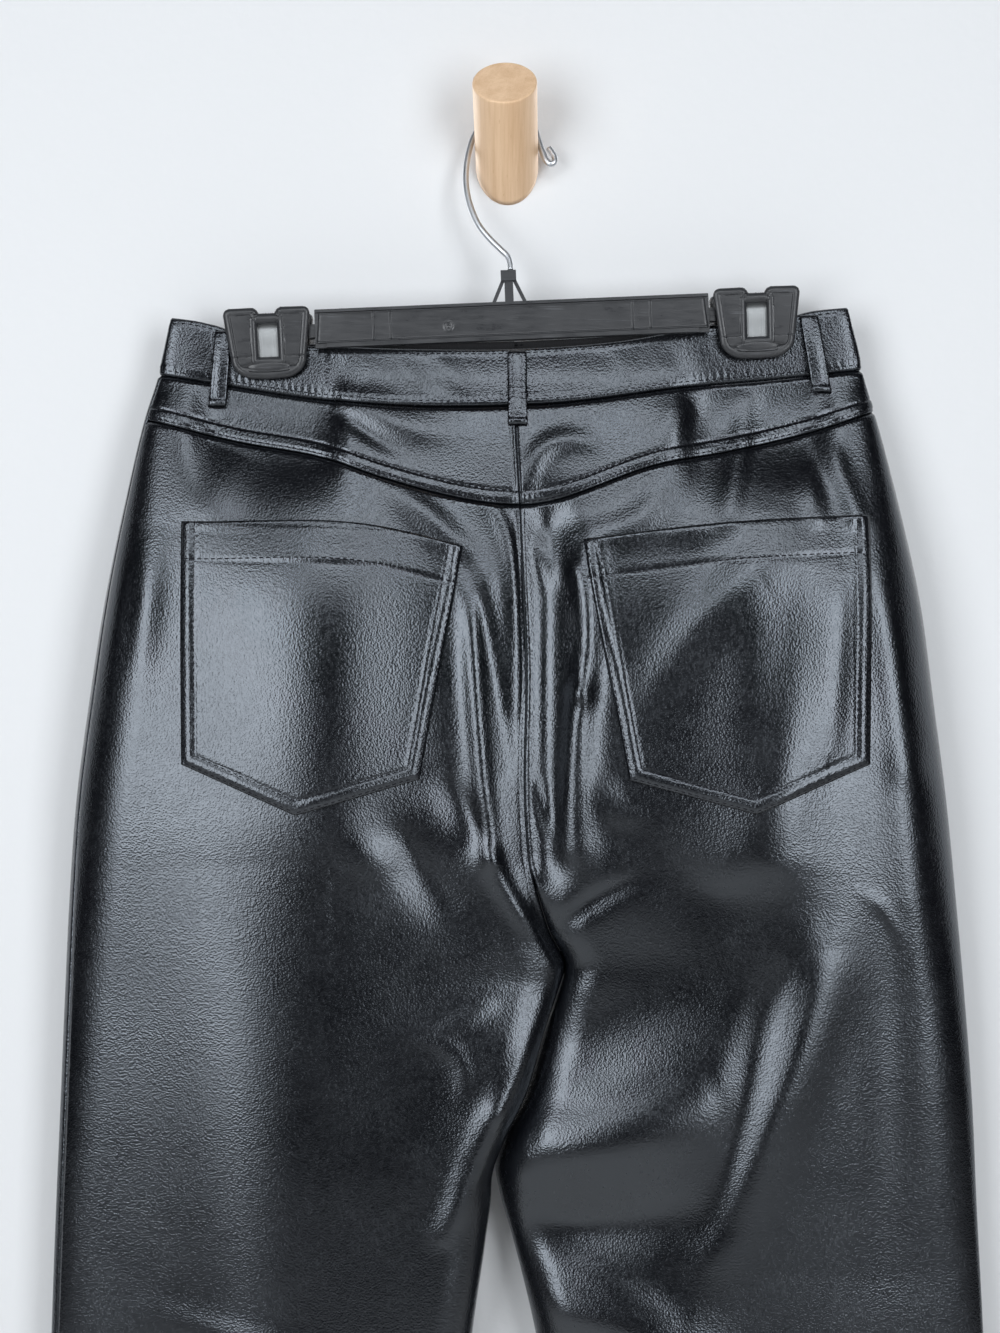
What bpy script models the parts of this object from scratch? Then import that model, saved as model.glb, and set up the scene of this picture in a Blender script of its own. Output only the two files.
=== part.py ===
"""Faux leather trousers, seen from the back, hung by the waist on a clip hanger and a wooden wall peg.

Metres, +Z up, +X to the right as seen from in front of the wall, +Y into the wall. The wall is the plane
y = 0, and the origin is the middle of the peg's cut face on it. Tables and named sizes are in millimetres.

The cloth is a tube that flattens from the hips to the waist and splits into two legs. A point of it is
found from its side (-1 left, 1 right), its layer (1 back, -1 front), its distance from the outer edge and
its height. Every panel is a grid of such points with a wall of its own thickness.
"""

import math

import bmesh
import bpy
import numpy as np
from mathutils import Matrix, Vector

MM = 0.001
LEFT, RIGHT = -1, 1
BACK, FRONT = 1, -1

CLOTH_WALL = 1.2
WAISTBAND_WALL = 1.8
POCKET_WALL = 1.2
LOOP_WALL = 1.3
SEAM_GAP = 0.3
FOLD_MARGIN = 0.6
CROTCH_MARGIN = 0.7
HEM_HEIGHT = -1150.0
CROTCH_HEIGHT = -437.0

# Outer edges and depth of the tube, a row for each level.
LEVEL_NAMES = "height left right middle back front edge"
LEVELS = (
    (-80, -179.5, 182.5, -25.0, 1.3, 5.6, 6),
    (-88, -180.7, 184.0, -25.0, 1.3, 5.8, 6),
    (-106, -184.3, 188.5, -25.0, 1.6, 6.2, 7),
    (-118, -187.0, 191.0, -25.0, 3.6, 6.8, 9),
    (-140, -194.0, 197.5, -24.5, 8.5, 8.6, 15),
    (-186, -205.0, 209.6, -24.0, 16.5, 13.0, 24),
    (-240, -216.0, 221.5, -24.0, 23.0, 15.5, 31),
    (-294, -224.4, 228.8, -24.0, 26.0, 16.5, 33),
    (-348, -231.5, 235.8, -24.0, 26.5, 16.5, 33),
    (-402, -235.4, 241.2, -24.0, 23.0, 16.0, 31),
    (-456, -238.0, 246.1, -24.0, 19.0, 15.0, 28),
    (-510, -240.3, 250.1, -24.0, 17.5, 14.5, 27),
    (-564, -242.8, 252.6, -23.5, 16.5, 14.0, 26),
    (-636, -245.5, 256.4, -23.0, 16.0, 14.0, 25),
    (-800, -249.0, 260.0, -22.5, 15.5, 14.0, 24),
    (-1150, -252.0, 264.0, -22.0, 15.0, 14.0, 24),
)

# Inner edges: the seat seam and the front seam down to the crotch, and the two inside legs below it.
INNER_NAMES = "height back_left back_right front_left front_right"
INNER = (
    (-80, 5.0, 5.0, 4.0, 4.0),
    (-148, 5.1, 5.1, 4.0, 4.0),
    (-190, 7.3, 7.3, 5.0, 5.0),
    (-230, 8.9, 8.9, 6.0, 6.0),
    (-267, 10.5, 10.5, 7.0, 7.0),
    (-362, 10.7, 10.7, 11.0, 11.0),
    (-382, 12.6, 12.6, 13.0, 13.0),
    (-400, 17.0, 17.0, 17.0, 17.0),
    (-418, 22.5, 22.5, 22.5, 22.5),
    (-437, 31.0, 31.0, 31.0, 31.0),
    (-452, 27.0, 27.6, 27.0, 27.6),
    (-468, 21.3, 21.6, 21.3, 21.6),
    (-508, 9.0, 8.0, 9.0, 8.0),
    (-528, -0.7, -1.8, -0.7, -1.8),
    (-549, -8.0, -6.5, -8.0, -6.5),
    (-560, -8.6, -4.5, -8.6, -4.5),
    (-583, -11.5, 2.0, -11.5, 2.0),
    (-636, -19.0, 15.0, -19.0, 15.0),
    (-800, -27.0, 30.0, -27.0, 30.0),
    (-1150, -34.0, 38.0, -34.0, 38.0),
)

# The waistband's top edge, the waist seam and the yoke seam, each as a line of points. Columns: x, height.
TOP_EDGE = (
    (-181, -88.2), (-163, -91.0), (-150, -95.2), (-141, -101.6), (-129, -103.4), (-106, -103.6), (-50, -105.2),
    (2, -105.2), (60, -101.0), (106, -93.6), (134, -91.4), (149, -89.4), (158, -86.2), (184, -82.6),
)
FRONT_TOP_EDGE = (
    (-181, -88.2), (-163, -91.0), (-150, -95.2), (-141, -101.6), (-129, -103.4), (-106, -102.0), (-50, -100.5),
    (2, -99.5), (60, -96.5), (106, -91.8), (134, -91.4), (149, -89.4), (158, -86.2), (184, -82.6),
)
WAIST_SEAM = (
    (-187, -118.9), (-151, -124.7), (-107, -131.5), (-68, -135.3), (7, -135.6), (21, -134.9),
    (104, -124.7), (136, -122.0), (191, -116.2),
)
YOKE_SEAM = (
    (-195, -143.3), (-144, -155.5), (-98, -164.5), (-67, -175.2), (6, -189.8), (8, -189.8),
    (81, -168.0), (135, -157.1), (188, -142.2), (198, -138.5),
)

# Main folds: a soft ridge (height over 0) or trough along a straight line.
# Columns: x and z of the start, x and z of the end, half width, height.
BACK_FOLDS = (
    (21, -205, 21, -375, 13, -6.0),
    (-112, -165, -94, -250, 18, -4.0),
    (-94, -250, -96, -345, 17, -5.0),
    (-150, -365, -120, -480, 26, -7.0),
    (-120, -480, -110, -900, 28, -8.0),
    (38, -225, 34, -370, 12, 3.5),
    (-17, -235, -10, -375, 12, 3.0),
    (170, -415, 100, -600, 24, 5.0),
    (130, -420, 84, -590, 20, -4.0),
    (208, -430, 212, -700, 14, -4.0),
    (20, -505, 120, -495, 26, 5.0),
    (20, -560, 110, -560, 20, -4.0),
    (30, -600, 110, -625, 22, 4.0),
)
FRONT_FOLDS = (
    (-130, -420, -125, -900, 30, 3.0),
    (140, -430, 135, -1000, 30, 3.0),
)

# Clip hanger.
HANGER_X, HANGER_Y, HANGER_Z = 2.5, -25.0, -91.1
HANGER_TILT = math.radians(2.4)
BAR_LENGTH, BAR_HEIGHT, BAR_WEB = 211.0, 20.5, 2.4
WEB_FRONT = -8.1
RIM_HEIGHT, RIM_FRONT, RIM_REAR = 1.6, 1.2, 4.2
FLANGE_HEIGHT, FLANGE_FRONT = 2.2, 2.2
RIB_WIDTH, RIB_PLACES = 0.8, (-73.0, -63.0, 58.0, 68.0)
CLIP_REACH = 131.0
CLIP_DROP = -6.1
CLIP_HEIGHT = 33.4
CLIP_TOP_HALF, CLIP_LOW_HALF = 21.2, 18.2
CLIP_WALL = 2.4
CLIP_LEAN = math.radians(7.0)
CLIP_BITE = WAISTBAND_WALL + SEAM_GAP + 0.2
WINDOW_WIDTH, WINDOW_HEIGHT = 14.0, 22.0
SPRING_WIDTH, SPRING_WALL = 13.2, 0.8

# Hook wire, from the collar up round the peg to the folded tip. Columns of its route: x, z.
WIRE_DIAMETER = 3.4
WIRE_ROUTE = (
    (1.7, -63.6), (1.6, -60.5), (0.2, -55.5), (-3.9, -51.0), (-9.0, -45.7), (-15.2, -37.6), (-18.7, -30.0),
    (-21.6, -20.0), (-22.6, -11.0), (-22.2, -2.0), (-20.8, 6.0), (-18.6, 13.5), (-14.6, 20.5), (-8.0, 25.8),
    (0.0, 27.6), (8.0, 25.8), (14.6, 20.5), (18.4, 13.5), (19.9, 7.0), (20.4, 2.5), (21.8, -0.9), (24.3, -1.8),
    (26.3, 0.2), (26.2, 3.6), (24.4, 7.6),
)
WIRE_TOP_Y, WIRE_LOW_Y = -3.2, -29.2

# Wooden peg, leaning up and out of the wall.
PEG_DIAMETER = 34.4
PEG_LENGTH = 55.6
PEG_RISE = math.radians(37.0)
PEG_SIDEWAYS = -0.026
PEG_EDGE = 0.8


def column(names, rows, name):
    """One named column of a table, as an array."""
    return np.array([row[names.split().index(name)] for row in rows], float)


def along(at, xs, ys):
    """A smooth curve through the points (xs, ys), by cubic pieces whose slopes agree where they meet."""
    order = np.argsort(xs)
    xs, ys = xs[order], ys[order]
    slopes = np.gradient(ys, xs)
    at = np.clip(at, xs[0], xs[-1])
    place = np.clip(np.searchsorted(xs, at) - 1, 0, len(xs) - 2)
    width = xs[place + 1] - xs[place]
    t = (at - xs[place]) / width
    rise = (3 - 2 * t) * t * t
    return (
        ys[place] * (1 - rise)
        + ys[place + 1] * rise
        + width * (slopes[place] * t * (1 - t) ** 2 - slopes[place + 1] * t * t * (1 - t))
    )


def level(name, height):
    return along(height, column(LEVEL_NAMES, LEVELS, "height"), column(LEVEL_NAMES, LEVELS, name))


def inner_edge(side, layer, height):
    name = ("back_" if layer == BACK else "front_") + ("left" if side == LEFT else "right")
    return along(height, column(INNER_NAMES, INNER, "height"), column(INNER_NAMES, INNER, name))


def outer_edge(side, height):
    return level("left" if side == LEFT else "right", height)


def seam_height(rows, x):
    return along(x, column("along height", rows, "along"), column("along height", rows, "height"))


def step(at, start, end):
    """0 before start, 1 after end, smooth between."""
    t = np.clip((at - start) / (end - start), 0, 1)
    return t * t * (3 - 2 * t)


def rounded(distance, radius):
    """A quarter circle that rises from 0 at an edge to 1 a radius away."""
    return np.sqrt(1 - (1 - np.clip(distance / radius, 0, 1)) ** 2)


def folds(rows, x, z):
    """The sum of soft ridges and troughs: a bell across each line, fading past its two ends."""
    total = np.zeros(np.broadcast(x, z).shape)
    for start_x, start_z, end_x, end_z, half_width, height in rows:
        length = math.hypot(end_x - start_x, end_z - start_z)
        ahead = ((end_x - start_x) / length, (end_z - start_z) / length)
        run = (x - start_x) * ahead[0] + (z - start_z) * ahead[1]
        off = (x - start_x) * ahead[1] - (z - start_z) * ahead[0]
        past = np.maximum(np.maximum(-run, run - length), 0)
        total = total + height * np.exp(-((off / half_width) ** 2) - (past / (1.4 * half_width)) ** 2)
    return total


def pinch(x, z):
    """1 where a clip presses the two layers together, 0 away from it."""
    hold = 0
    for reach in (-CLIP_REACH, CLIP_REACH):
        hold = hold + np.exp(-(((x - HANGER_X - reach) / 38) ** 8))
    return hold * step(z, -146, -123)


def cloth_depth(side, layer, x, from_outer, from_inner, z):
    """The y of the cloth: the middle plane, less or plus the layer's depth, which rounds away at the edges."""
    closing = step(-z, 382, -CROTCH_HEIGHT)
    edges = rounded(from_outer, level("edge", z)) * (1 - closing + closing * rounded(from_inner, 22))
    apart = step(-z, 440, 482) * (1 - step(-z, 600, 800)) * np.exp(-((from_inner / 55) ** 2))
    middle = level("middle", z) + apart * (-7.5 if side == LEFT else 7.5)
    pressed = pinch(x, z)
    name, rows = ("back", BACK_FOLDS) if layer == BACK else ("front", FRONT_FOLDS)
    depth = level(name, z) * (1 - pressed) + (WAISTBAND_WALL / 2 + 0.2) * pressed
    return middle - layer * edges * (depth + folds(rows, x, z))


def cloth(side, layer, from_edge, z):
    """Points of the tube. A distance below 0 goes round the outer edge onto the other layer."""
    edge = outer_edge(side, z)
    distance = np.abs(from_edge)
    x = edge - side * distance
    other = from_edge < 0
    y = np.where(
        other,
        cloth_depth(side, -layer, x, distance, np.abs(x - inner_edge(side, -layer, z)), z),
        cloth_depth(side, layer, x, distance, np.abs(x - inner_edge(side, layer, z)), z),
    )
    return np.stack([x, y, z], -1)


def side_seam(side, layer, z):
    """How far the panel's side seam lies from the tube's outer edge, on the panel's own layer."""
    on_back = np.where(side == LEFT, 1.8 + 2.4 * step(-z, 140, 300), -3.0)
    return on_back * layer


def across(count):
    """Fractions from the side seam to the inner edge, closer together at both."""
    t = np.linspace(0, 1, count)
    return 0.45 * t + 0.55 * (1 - np.cos(math.pi * t)) / 2


def panel_points(side, layer, top_rows, bottom_rows, shares, count):
    """A grid of points: rows from the top seam to the bottom one, columns from side seam to inner edge."""
    shares = np.asarray(shares, float)[:, None]
    fraction = across(count)[None, :]
    x = outer_edge(side, -200.0) + fraction * (inner_edge(side, layer, -200.0) - outer_edge(side, -200.0))
    z = np.zeros((len(shares), count))
    for _ in range(6):
        high = seam_height(top_rows, x)
        low = HEM_HEIGHT if bottom_rows is None else seam_height(bottom_rows, x)
        z = high + (low - high) * shares
        start = side_seam(side, layer, z)
        width = np.abs(inner_edge(side, layer, z) - outer_edge(side, z))
        from_edge = start + (width - start) * fraction
        x = outer_edge(side, z) - side * np.abs(from_edge)
    return cloth(side, layer, from_edge, z)


def pulled_in(grid, sides):
    """The grid with the named border rows or columns drawn in by half a seam gap.

    Where two walls meet at a fold, along a side seam or an inside leg, their inner corners would cross,
    so those borders draw in further.
    """
    grid = grid.copy()
    inner = grid[:, -1, 2]
    closing = step(-inner, 365, 400)[:, None]
    crotch = CROTCH_MARGIN * np.exp(-(((inner - CROTCH_HEIGHT - 8) / 16) ** 2))[:, None]
    margins = {
        "top": SEAM_GAP / 2,
        "bottom": SEAM_GAP / 2,
        "first": SEAM_GAP / 2 + FOLD_MARGIN,
        "last": SEAM_GAP / 2 + FOLD_MARGIN * closing + crotch,
    }
    borders = {
        "top": (np.s_[0, :], np.s_[1, :]),
        "bottom": (np.s_[-1, :], np.s_[-2, :]),
        "first": (np.s_[:, 0], np.s_[:, 1]),
        "last": (np.s_[:, -1], np.s_[:, -2]),
    }
    for side in sides:
        border, inside = borders[side]
        run = grid[inside] - grid[border]
        grid[border] += run / np.linalg.norm(run, axis=-1, keepdims=True) * margins[side]
    return grid


def material(name, colour, roughness, metallic=0.0):
    made = bpy.data.materials.new(name)
    made.use_nodes = True
    shader = made.node_tree.nodes["Principled BSDF"]
    shader.inputs["Base Color"].default_value = (*colour, 1.0)
    shader.inputs["Roughness"].default_value = roughness
    shader.inputs["Metallic"].default_value = metallic
    return made


def leather_material():
    return material("black_faux_leather", (0.018, 0.019, 0.022), 0.42)


def plastic_material():
    return material("black_plastic", (0.035, 0.035, 0.037), 0.4)


def wire_material():
    return material("zinc_wire", (0.62, 0.64, 0.66), 0.3, 1.0)


def spring_material():
    return material("spring_steel", (0.78, 0.78, 0.78), 0.25, 1.0)


def wood_material():
    return material("beech", (0.72, 0.5, 0.32), 0.55)


def button_material():
    return material("button_plastic", (0.02, 0.02, 0.022), 0.3)


def collection(name):
    made = bpy.data.collections.new(name)
    bpy.context.scene.collection.children.link(made)
    return made


def add_object(name, data, group, finish=None):
    made = bpy.data.objects.new(name, data)
    group.objects.link(made)
    if finish is not None:
        data.materials.append(finish)
    return made


def grid_faces(rows, columns):
    """Two triangles a cell, so that a piece laid on another folds along the same lines."""
    first = np.arange(rows - 1)[:, None] * columns + np.arange(columns - 1)[None, :]
    first = first.ravel()
    beside, down = first + 1, first + columns
    upper = np.stack([first, beside, down + 1], -1)
    lower = np.stack([first, down + 1, down], -1)
    return np.concatenate([upper, lower])


def sheet_mesh(name, grid):
    """An open surface on a grid of points in millimetres."""
    rows, columns = grid.shape[:2]
    mesh = bpy.data.meshes.new(name)
    mesh.from_pydata((grid.reshape(-1, 3) * MM).tolist(), [], grid_faces(rows, columns).tolist())
    mesh.validate()
    return mesh


def give_wall(made, wall, offset=0.0):
    solid = made.modifiers.new("wall", "SOLIDIFY")
    solid.thickness = wall * MM
    solid.offset = offset
    solid.use_even_offset = True
    return solid


def faced_out(grid, side, layer):
    """The grid with its columns in the order that turns its faces away from the wearer."""
    return grid[:, ::-1] if side * layer == LEFT else grid


def add_panel(name, grid, group, finish, wall):
    made = add_object(name, sheet_mesh(name, grid), group, finish)
    give_wall(made, wall)
    made.data.polygons.foreach_set("use_smooth", [True] * len(made.data.polygons))
    return made


def leg_shares(heights):
    """Row fractions of a leg panel, from the heights of its rows at the inner edge."""
    heights = np.array(heights, float)
    return (heights - heights[0]) / (heights[-1] - heights[0])


BACK_ROWS = (
    -189.8, -212, -240, -268, -296, -325, -354, -382, -400, -418, -437, -452, -468, -488, -508, -528, -549,
    -572, -604, -636, -700, -780, -880, -1000, -1150,
)
FRONT_ROWS = (
    -135.6, -160, -190, -240, -290, -340, -382, -400, -418, -437, -452, -468, -488, -508, -528, -549, -572,
    -604, -636, -700, -780, -880, -1000, -1150,
)
PANEL_COLUMNS = 14


def back_leg_points(side):
    return panel_points(side, BACK, YOKE_SEAM, None, leg_shares(BACK_ROWS), PANEL_COLUMNS)


def front_leg_points(side):
    return panel_points(side, FRONT, WAIST_SEAM, None, leg_shares(FRONT_ROWS), PANEL_COLUMNS)


def yoke_points(side):
    return panel_points(side, BACK, WAIST_SEAM, YOKE_SEAM, (0, 0.5, 1), PANEL_COLUMNS)


def band_points(side, layer):
    top = TOP_EDGE if layer == BACK else FRONT_TOP_EDGE
    return panel_points(side, layer, top, WAIST_SEAM, (0, 0.5, 1), PANEL_COLUMNS)


def add_leg_panels(group, finish):
    for side, name in ((LEFT, "left"), (RIGHT, "right")):
        back = pulled_in(back_leg_points(side), ("top", "first", "last"))
        front = pulled_in(front_leg_points(side), ("top", "first", "last"))
        yoke = pulled_in(yoke_points(side), ("top", "bottom", "first", "last"))
        add_panel(f"back_{name}", faced_out(back, side, BACK), group, finish, CLOTH_WALL)
        add_panel(f"front_{name}", faced_out(front, side, FRONT), group, finish, CLOTH_WALL)
        add_panel(f"yoke_{name}", faced_out(yoke, side, BACK), group, finish, CLOTH_WALL)


BAND_LAP = 30.0
BAND_LAP_LIFT = WAISTBAND_WALL + SEAM_GAP


def add_waistband(group, finish):
    """One strip from the centre front round the left side, the back and the right side, and lapped past the start."""
    start = band_points(LEFT, FRONT)[:, ::-1]
    start = pulled_in(start, ("first",))
    end = band_points(RIGHT, FRONT)
    lapped = []
    for past in (2.0, BAND_LAP * 0.5, BAND_LAP):
        x = end[:, -1, 0] - past
        from_edge = x - outer_edge(LEFT, end[:, -1, 2])
        point = cloth(LEFT, FRONT, from_edge, end[:, -1, 2])
        lapped.append(point + np.array([0, BAND_LAP_LIFT, 0]))
    lift = np.exp(-(((end[:, :, 0] - end[:, -1:, 0]) / 9.0) ** 2)) * BAND_LAP_LIFT
    end = end + lift[..., None] * np.array([0, 1, 0])
    pieces = [
        start[:, :-1],
        band_points(LEFT, BACK)[:, :-1],
        band_points(RIGHT, BACK)[:, ::-1][:, :-1],
        end,
        np.stack(lapped, 1),
    ]
    grid = pulled_in(np.concatenate(pieces, 1), ("bottom",))
    add_panel("waistband", grid, group, finish, WAISTBAND_WALL)


# Outlines of the pieces that lie on the panels, a corner a row. Columns: x, z.
POCKET_LEFT = (
    (-172.2, -199.2), (-61.9, -202.9), (-23.4, -212.4), (-46.1, -335.3), (-110.5, -353.8), (-171.1, -327.4),
)
POCKET_RIGHT = (
    (39.9, -208.7), (191.8, -195.5), (190.2, -327.4), (129.6, -353.3), (64.1, -335.9),
)
FLY_WIDTH, FLY_TOP, FLY_BOTTOM = 38.0, -137.6, -290.0
FLY_SEAM_X = 6.0
FLY_CURVE = 40.0


def prism(name, outline, low_y, high_y, group):
    """A flat outline in x and z, raised along y, for cutting."""
    build = bmesh.new()
    low = [build.verts.new(Vector((x, low_y, z)) * MM) for x, z in outline]
    face = build.faces.new(low)
    raised = bmesh.ops.extrude_face_region(build, geom=[face])
    moved = [item for item in raised["geom"] if isinstance(item, bmesh.types.BMVert)]
    bmesh.ops.translate(build, verts=moved, vec=Vector((0, high_y - low_y, 0)) * MM)
    bmesh.ops.recalc_face_normals(build, faces=build.faces)
    mesh = bpy.data.meshes.new(name)
    build.to_mesh(mesh)
    build.free()
    made = add_object(name, mesh, group)
    made.hide_render = True
    made.display_type = "WIRE"
    return made


def normals_of(grid, toward):
    """Unit normals at the grid's points: the mean of the faces that meet there, turned to a side of y."""
    face = np.cross(grid[1:, 1:] - grid[:-1, :-1], grid[1:, :-1] - grid[:-1, 1:])
    face /= np.linalg.norm(face, axis=-1, keepdims=True)
    normal = np.zeros(grid.shape)
    for rows in (np.s_[:-1], np.s_[1:]):
        for columns in (np.s_[:-1], np.s_[1:]):
            normal[rows, columns] += face
    normal /= np.linalg.norm(normal, axis=-1, keepdims=True)
    return np.where((normal[..., 1] * toward < 0)[..., None], -normal, normal)


def add_laid_piece(name, panel, side, layer, outline, wall, group, cutters, finish):
    """A piece on a panel: the panel's own points moved out past its wall, cut to the outline."""
    normal = normals_of(panel, -layer)
    grid = panel + normal * ((CLOTH_WALL + wall) / 2 + SEAM_GAP)
    made = add_panel(name, faced_out(grid, side, layer), group, finish, wall)
    low, high = grid[..., 1].min() - 20, grid[..., 1].max() + 20
    cutter = prism("cut_" + name, outline, low, high, cutters)
    cut = made.modifiers.new("outline", "BOOLEAN")
    cut.operation = "INTERSECT"
    cut.solver = "EXACT"
    cut.object = cutter
    return made


def add_pockets(group, cutters, finish):
    for side, name, outline in ((LEFT, "left", POCKET_LEFT), (RIGHT, "right", POCKET_RIGHT)):
        panel = back_leg_points(side)[:9]
        add_laid_piece(f"pocket_{name}", panel, side, BACK, outline, POCKET_WALL, group, cutters, finish)


def add_fly(group, cutters, finish):
    """A facing on the centre front, straight at the seam and curved into it at the bottom."""
    panel = front_leg_points(RIGHT)[:6, 6:]
    curve = [math.radians(angle) for angle in range(0, 91, 15)]
    low = [
        (FLY_SEAM_X + FLY_WIDTH * math.cos(turn), FLY_BOTTOM + FLY_CURVE * (1 - math.sin(turn)))
        for turn in curve
    ]
    outline = [(FLY_SEAM_X, FLY_TOP), (FLY_SEAM_X + FLY_WIDTH, FLY_TOP), *low]
    add_laid_piece("fly", panel, RIGHT, FRONT, outline, CLOTH_WALL, group, cutters, finish)


# Belt loops. Columns: name, layer, x and z of the top end's middle, x and z of the bottom end's, width.
LOOP_RISE = 1.9
LOOPS = (
    ("loop_back_left", BACK, -152.4, -95.4, -155.6, -136.5, 9.2),
    ("loop_back_centre", BACK, 5.2, -106.2, 5.6, -147.0, 10.4),
    ("loop_back_right", BACK, 162.0, -87.0, 168.8, -129.0, 10.0),
    ("loop_front_left", FRONT, -88.0, -102.5, -88.0, -146.0, 10.0),
    ("loop_front_right", FRONT, 92.0, -94.5, 92.0, -138.0, 10.0),
)


def nearest_outer_y(layer, x, z):
    """The cloth's y at x and z, on either half of the tube."""
    side = np.where(x < inner_edge(LEFT, layer, z), LEFT, RIGHT)
    left = cloth(LEFT, layer, np.maximum(x - outer_edge(LEFT, z), 0), z)[..., 1]
    right = cloth(RIGHT, layer, np.maximum(outer_edge(RIGHT, z) - x, 0), z)[..., 1]
    return np.where(side == LEFT, left, right)


def add_loops(group, finish):
    """Flat strips that touch the waistband at the top and the yoke at the bottom and stand off between."""
    for name, layer, top_x, top_z, bottom_x, bottom_z, width in LOOPS:
        share = np.linspace(0, 1, 7)[:, None]
        sideways = np.array([-0.5, 0, 0.5])[None, :] * width
        x = top_x + (bottom_x - top_x) * share + sideways
        z = top_z + (bottom_z - top_z) * share + 0 * sideways
        surface = nearest_outer_y(layer, x, z)
        flat = (surface * layer).min(axis=1, keepdims=True) * layer
        rise = LOOP_RISE * np.sin(math.pi * share) ** 0.7
        clear = WAISTBAND_WALL / 2 + SEAM_GAP + LOOP_WALL / 2 + 0.05
        y = flat - layer * (clear + rise) + 0 * sideways
        grid = np.stack([x, y, z], -1)
        if layer == BACK:
            grid = grid[:, ::-1]
        add_panel(name, grid, group, finish, LOOP_WALL)


BUTTON_DIAMETER = 17.0
BUTTON_X, BUTTON_Z = -11.0, -119.0


def add_waist_button(group, finish):
    """A turned disc with a raised rim, on the lapped end of the waistband."""
    radius = BUTTON_DIAMETER / 2
    profile = (
        (0.0, 2.2), (5.6, 2.2), (6.4, 3.2), (7.8, 3.2),
        (radius, 2.4), (radius, 0.8), (7.6, 0.0), (0.0, 0.0),
    )
    mesh = bpy.data.meshes.new("waist_button")
    points = [(r * MM, 0.0, h * MM) for r, h in profile]
    mesh.from_pydata(points, [(i, i + 1) for i in range(len(points) - 1)], [])
    made = add_object("waist_button", mesh, group, finish)
    turn = made.modifiers.new("turn", "SCREW")
    turn.steps = turn.render_steps = 24
    turn.use_merge_vertices = True
    turn.merge_threshold = 0.0001
    x, z = BUTTON_X, BUTTON_Z
    reach = np.array([z - radius, z, z + radius])
    low, middle, high = nearest_outer_y(FRONT, np.full(3, x), reach)
    lean = math.atan2(low - high, BUTTON_DIAMETER)
    outer = max(middle, (low + high) / 2) + BAND_LAP_LIFT + WAISTBAND_WALL / 2 + SEAM_GAP + 0.4
    made.rotation_euler = (-math.pi / 2 + lean, 0, 0)
    made.location = Vector((x, outer, z)) * MM


def box(build, low, high):
    """A box from its lowest to its highest corner, in millimetres."""
    centre = (Vector(low) + Vector(high)) / 2 * MM
    size = (Vector(high) - Vector(low)) * MM
    place = Matrix.Translation(centre) @ Matrix.Diagonal((*size, 1))
    return bmesh.ops.create_cube(build, size=1.0, matrix=place)["verts"]


def bar_piece(name, low, high, cutters, slant=None):
    """One block of the bar as a helper object, optionally slanted in x and z."""
    build = bmesh.new()
    corners = box(build, low, high)
    if slant is not None:
        for corner in corners:
            corner.co.x += slant * (high[2] * MM - corner.co.z)
    mesh = bpy.data.meshes.new(name)
    build.to_mesh(mesh)
    build.free()
    made = add_object(name, mesh, cutters)
    made.hide_render = True
    made.display_type = "WIRE"
    return made


def add_bar(group, cutters, finish, parent):
    """The bar's web with its rim and bottom flange, its end arms with their pivot blocks, and its neck."""
    half, tall = BAR_LENGTH / 2, BAR_HEIGHT / 2
    front, rear = WEB_FRONT, WEB_FRONT + BAR_WEB
    build = bmesh.new()
    box(build, (-half, front, -tall), (half, rear, tall))
    mesh = bpy.data.meshes.new("hanger_bar")
    build.to_mesh(mesh)
    build.free()
    made = add_object("hanger_bar", mesh, group, finish)
    blocks = [
        ("rim", (-half + 0.4, front - RIM_FRONT, tall - RIM_HEIGHT), (half - 0.4, rear + RIM_REAR, tall), None),
        ("flange", (-half + 6, front - FLANGE_FRONT, -tall), (half - 6, rear + 0.3, -tall + FLANGE_HEIGHT), None),
    ]
    for sign in (-1, 1):
        near, far = sorted((sign * (half - 6), sign * (half + 3.5)))
        blocks.append((f"step_{near:.0f}", (near, rear - 0.6, -4.1), (far, 0.2, 3.0), None))
        near, far = sorted((sign * (half + 3), sign * (CLIP_REACH + 6)))
        blocks.append((f"arm_{near:.0f}", (near, -2.2, -4.1), (far, 0.2, 3.0), None))
        middle = sign * CLIP_REACH
        blocks.append((f"pivot_{middle:.0f}", (middle - 9.5, -4.6, -1.5), (middle + 9.5, 4.6, 2.0), None))
    for place in RIB_PLACES:
        low = (place - RIB_WIDTH / 2, front - 0.6, -tall + 1)
        high = (place + RIB_WIDTH / 2, front + 0.5, tall - 1)
        blocks.append((f"rib_{place:.0f}", low, high, None))
    blocks.append(("stem", (-3.2, front - 0.2, tall - 1), (1.4, rear + 0.2, 22.5), None))
    blocks.append(("collar", (-5.0, front - 1.6, 21.4), (3.2, rear + 1.6, 27.0), None))
    blocks.append(("strut_left", (-4.9, front + 0.2, tall - 1), (-2.9, rear - 0.2, 22.0), -0.45))
    blocks.append(("strut_right", (1.1, front + 0.2, tall - 1), (3.1, rear - 0.2, 22.0), 0.45))
    for name, low, high, slant in blocks:
        helper = bar_piece("bar_" + name, low, high, cutters, slant)
        helper.parent = parent
        join = made.modifiers.new(name, "BOOLEAN")
        join.operation = "UNION"
        join.solver = "EXACT"
        join.object = helper
    made.parent = parent
    return made


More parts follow.
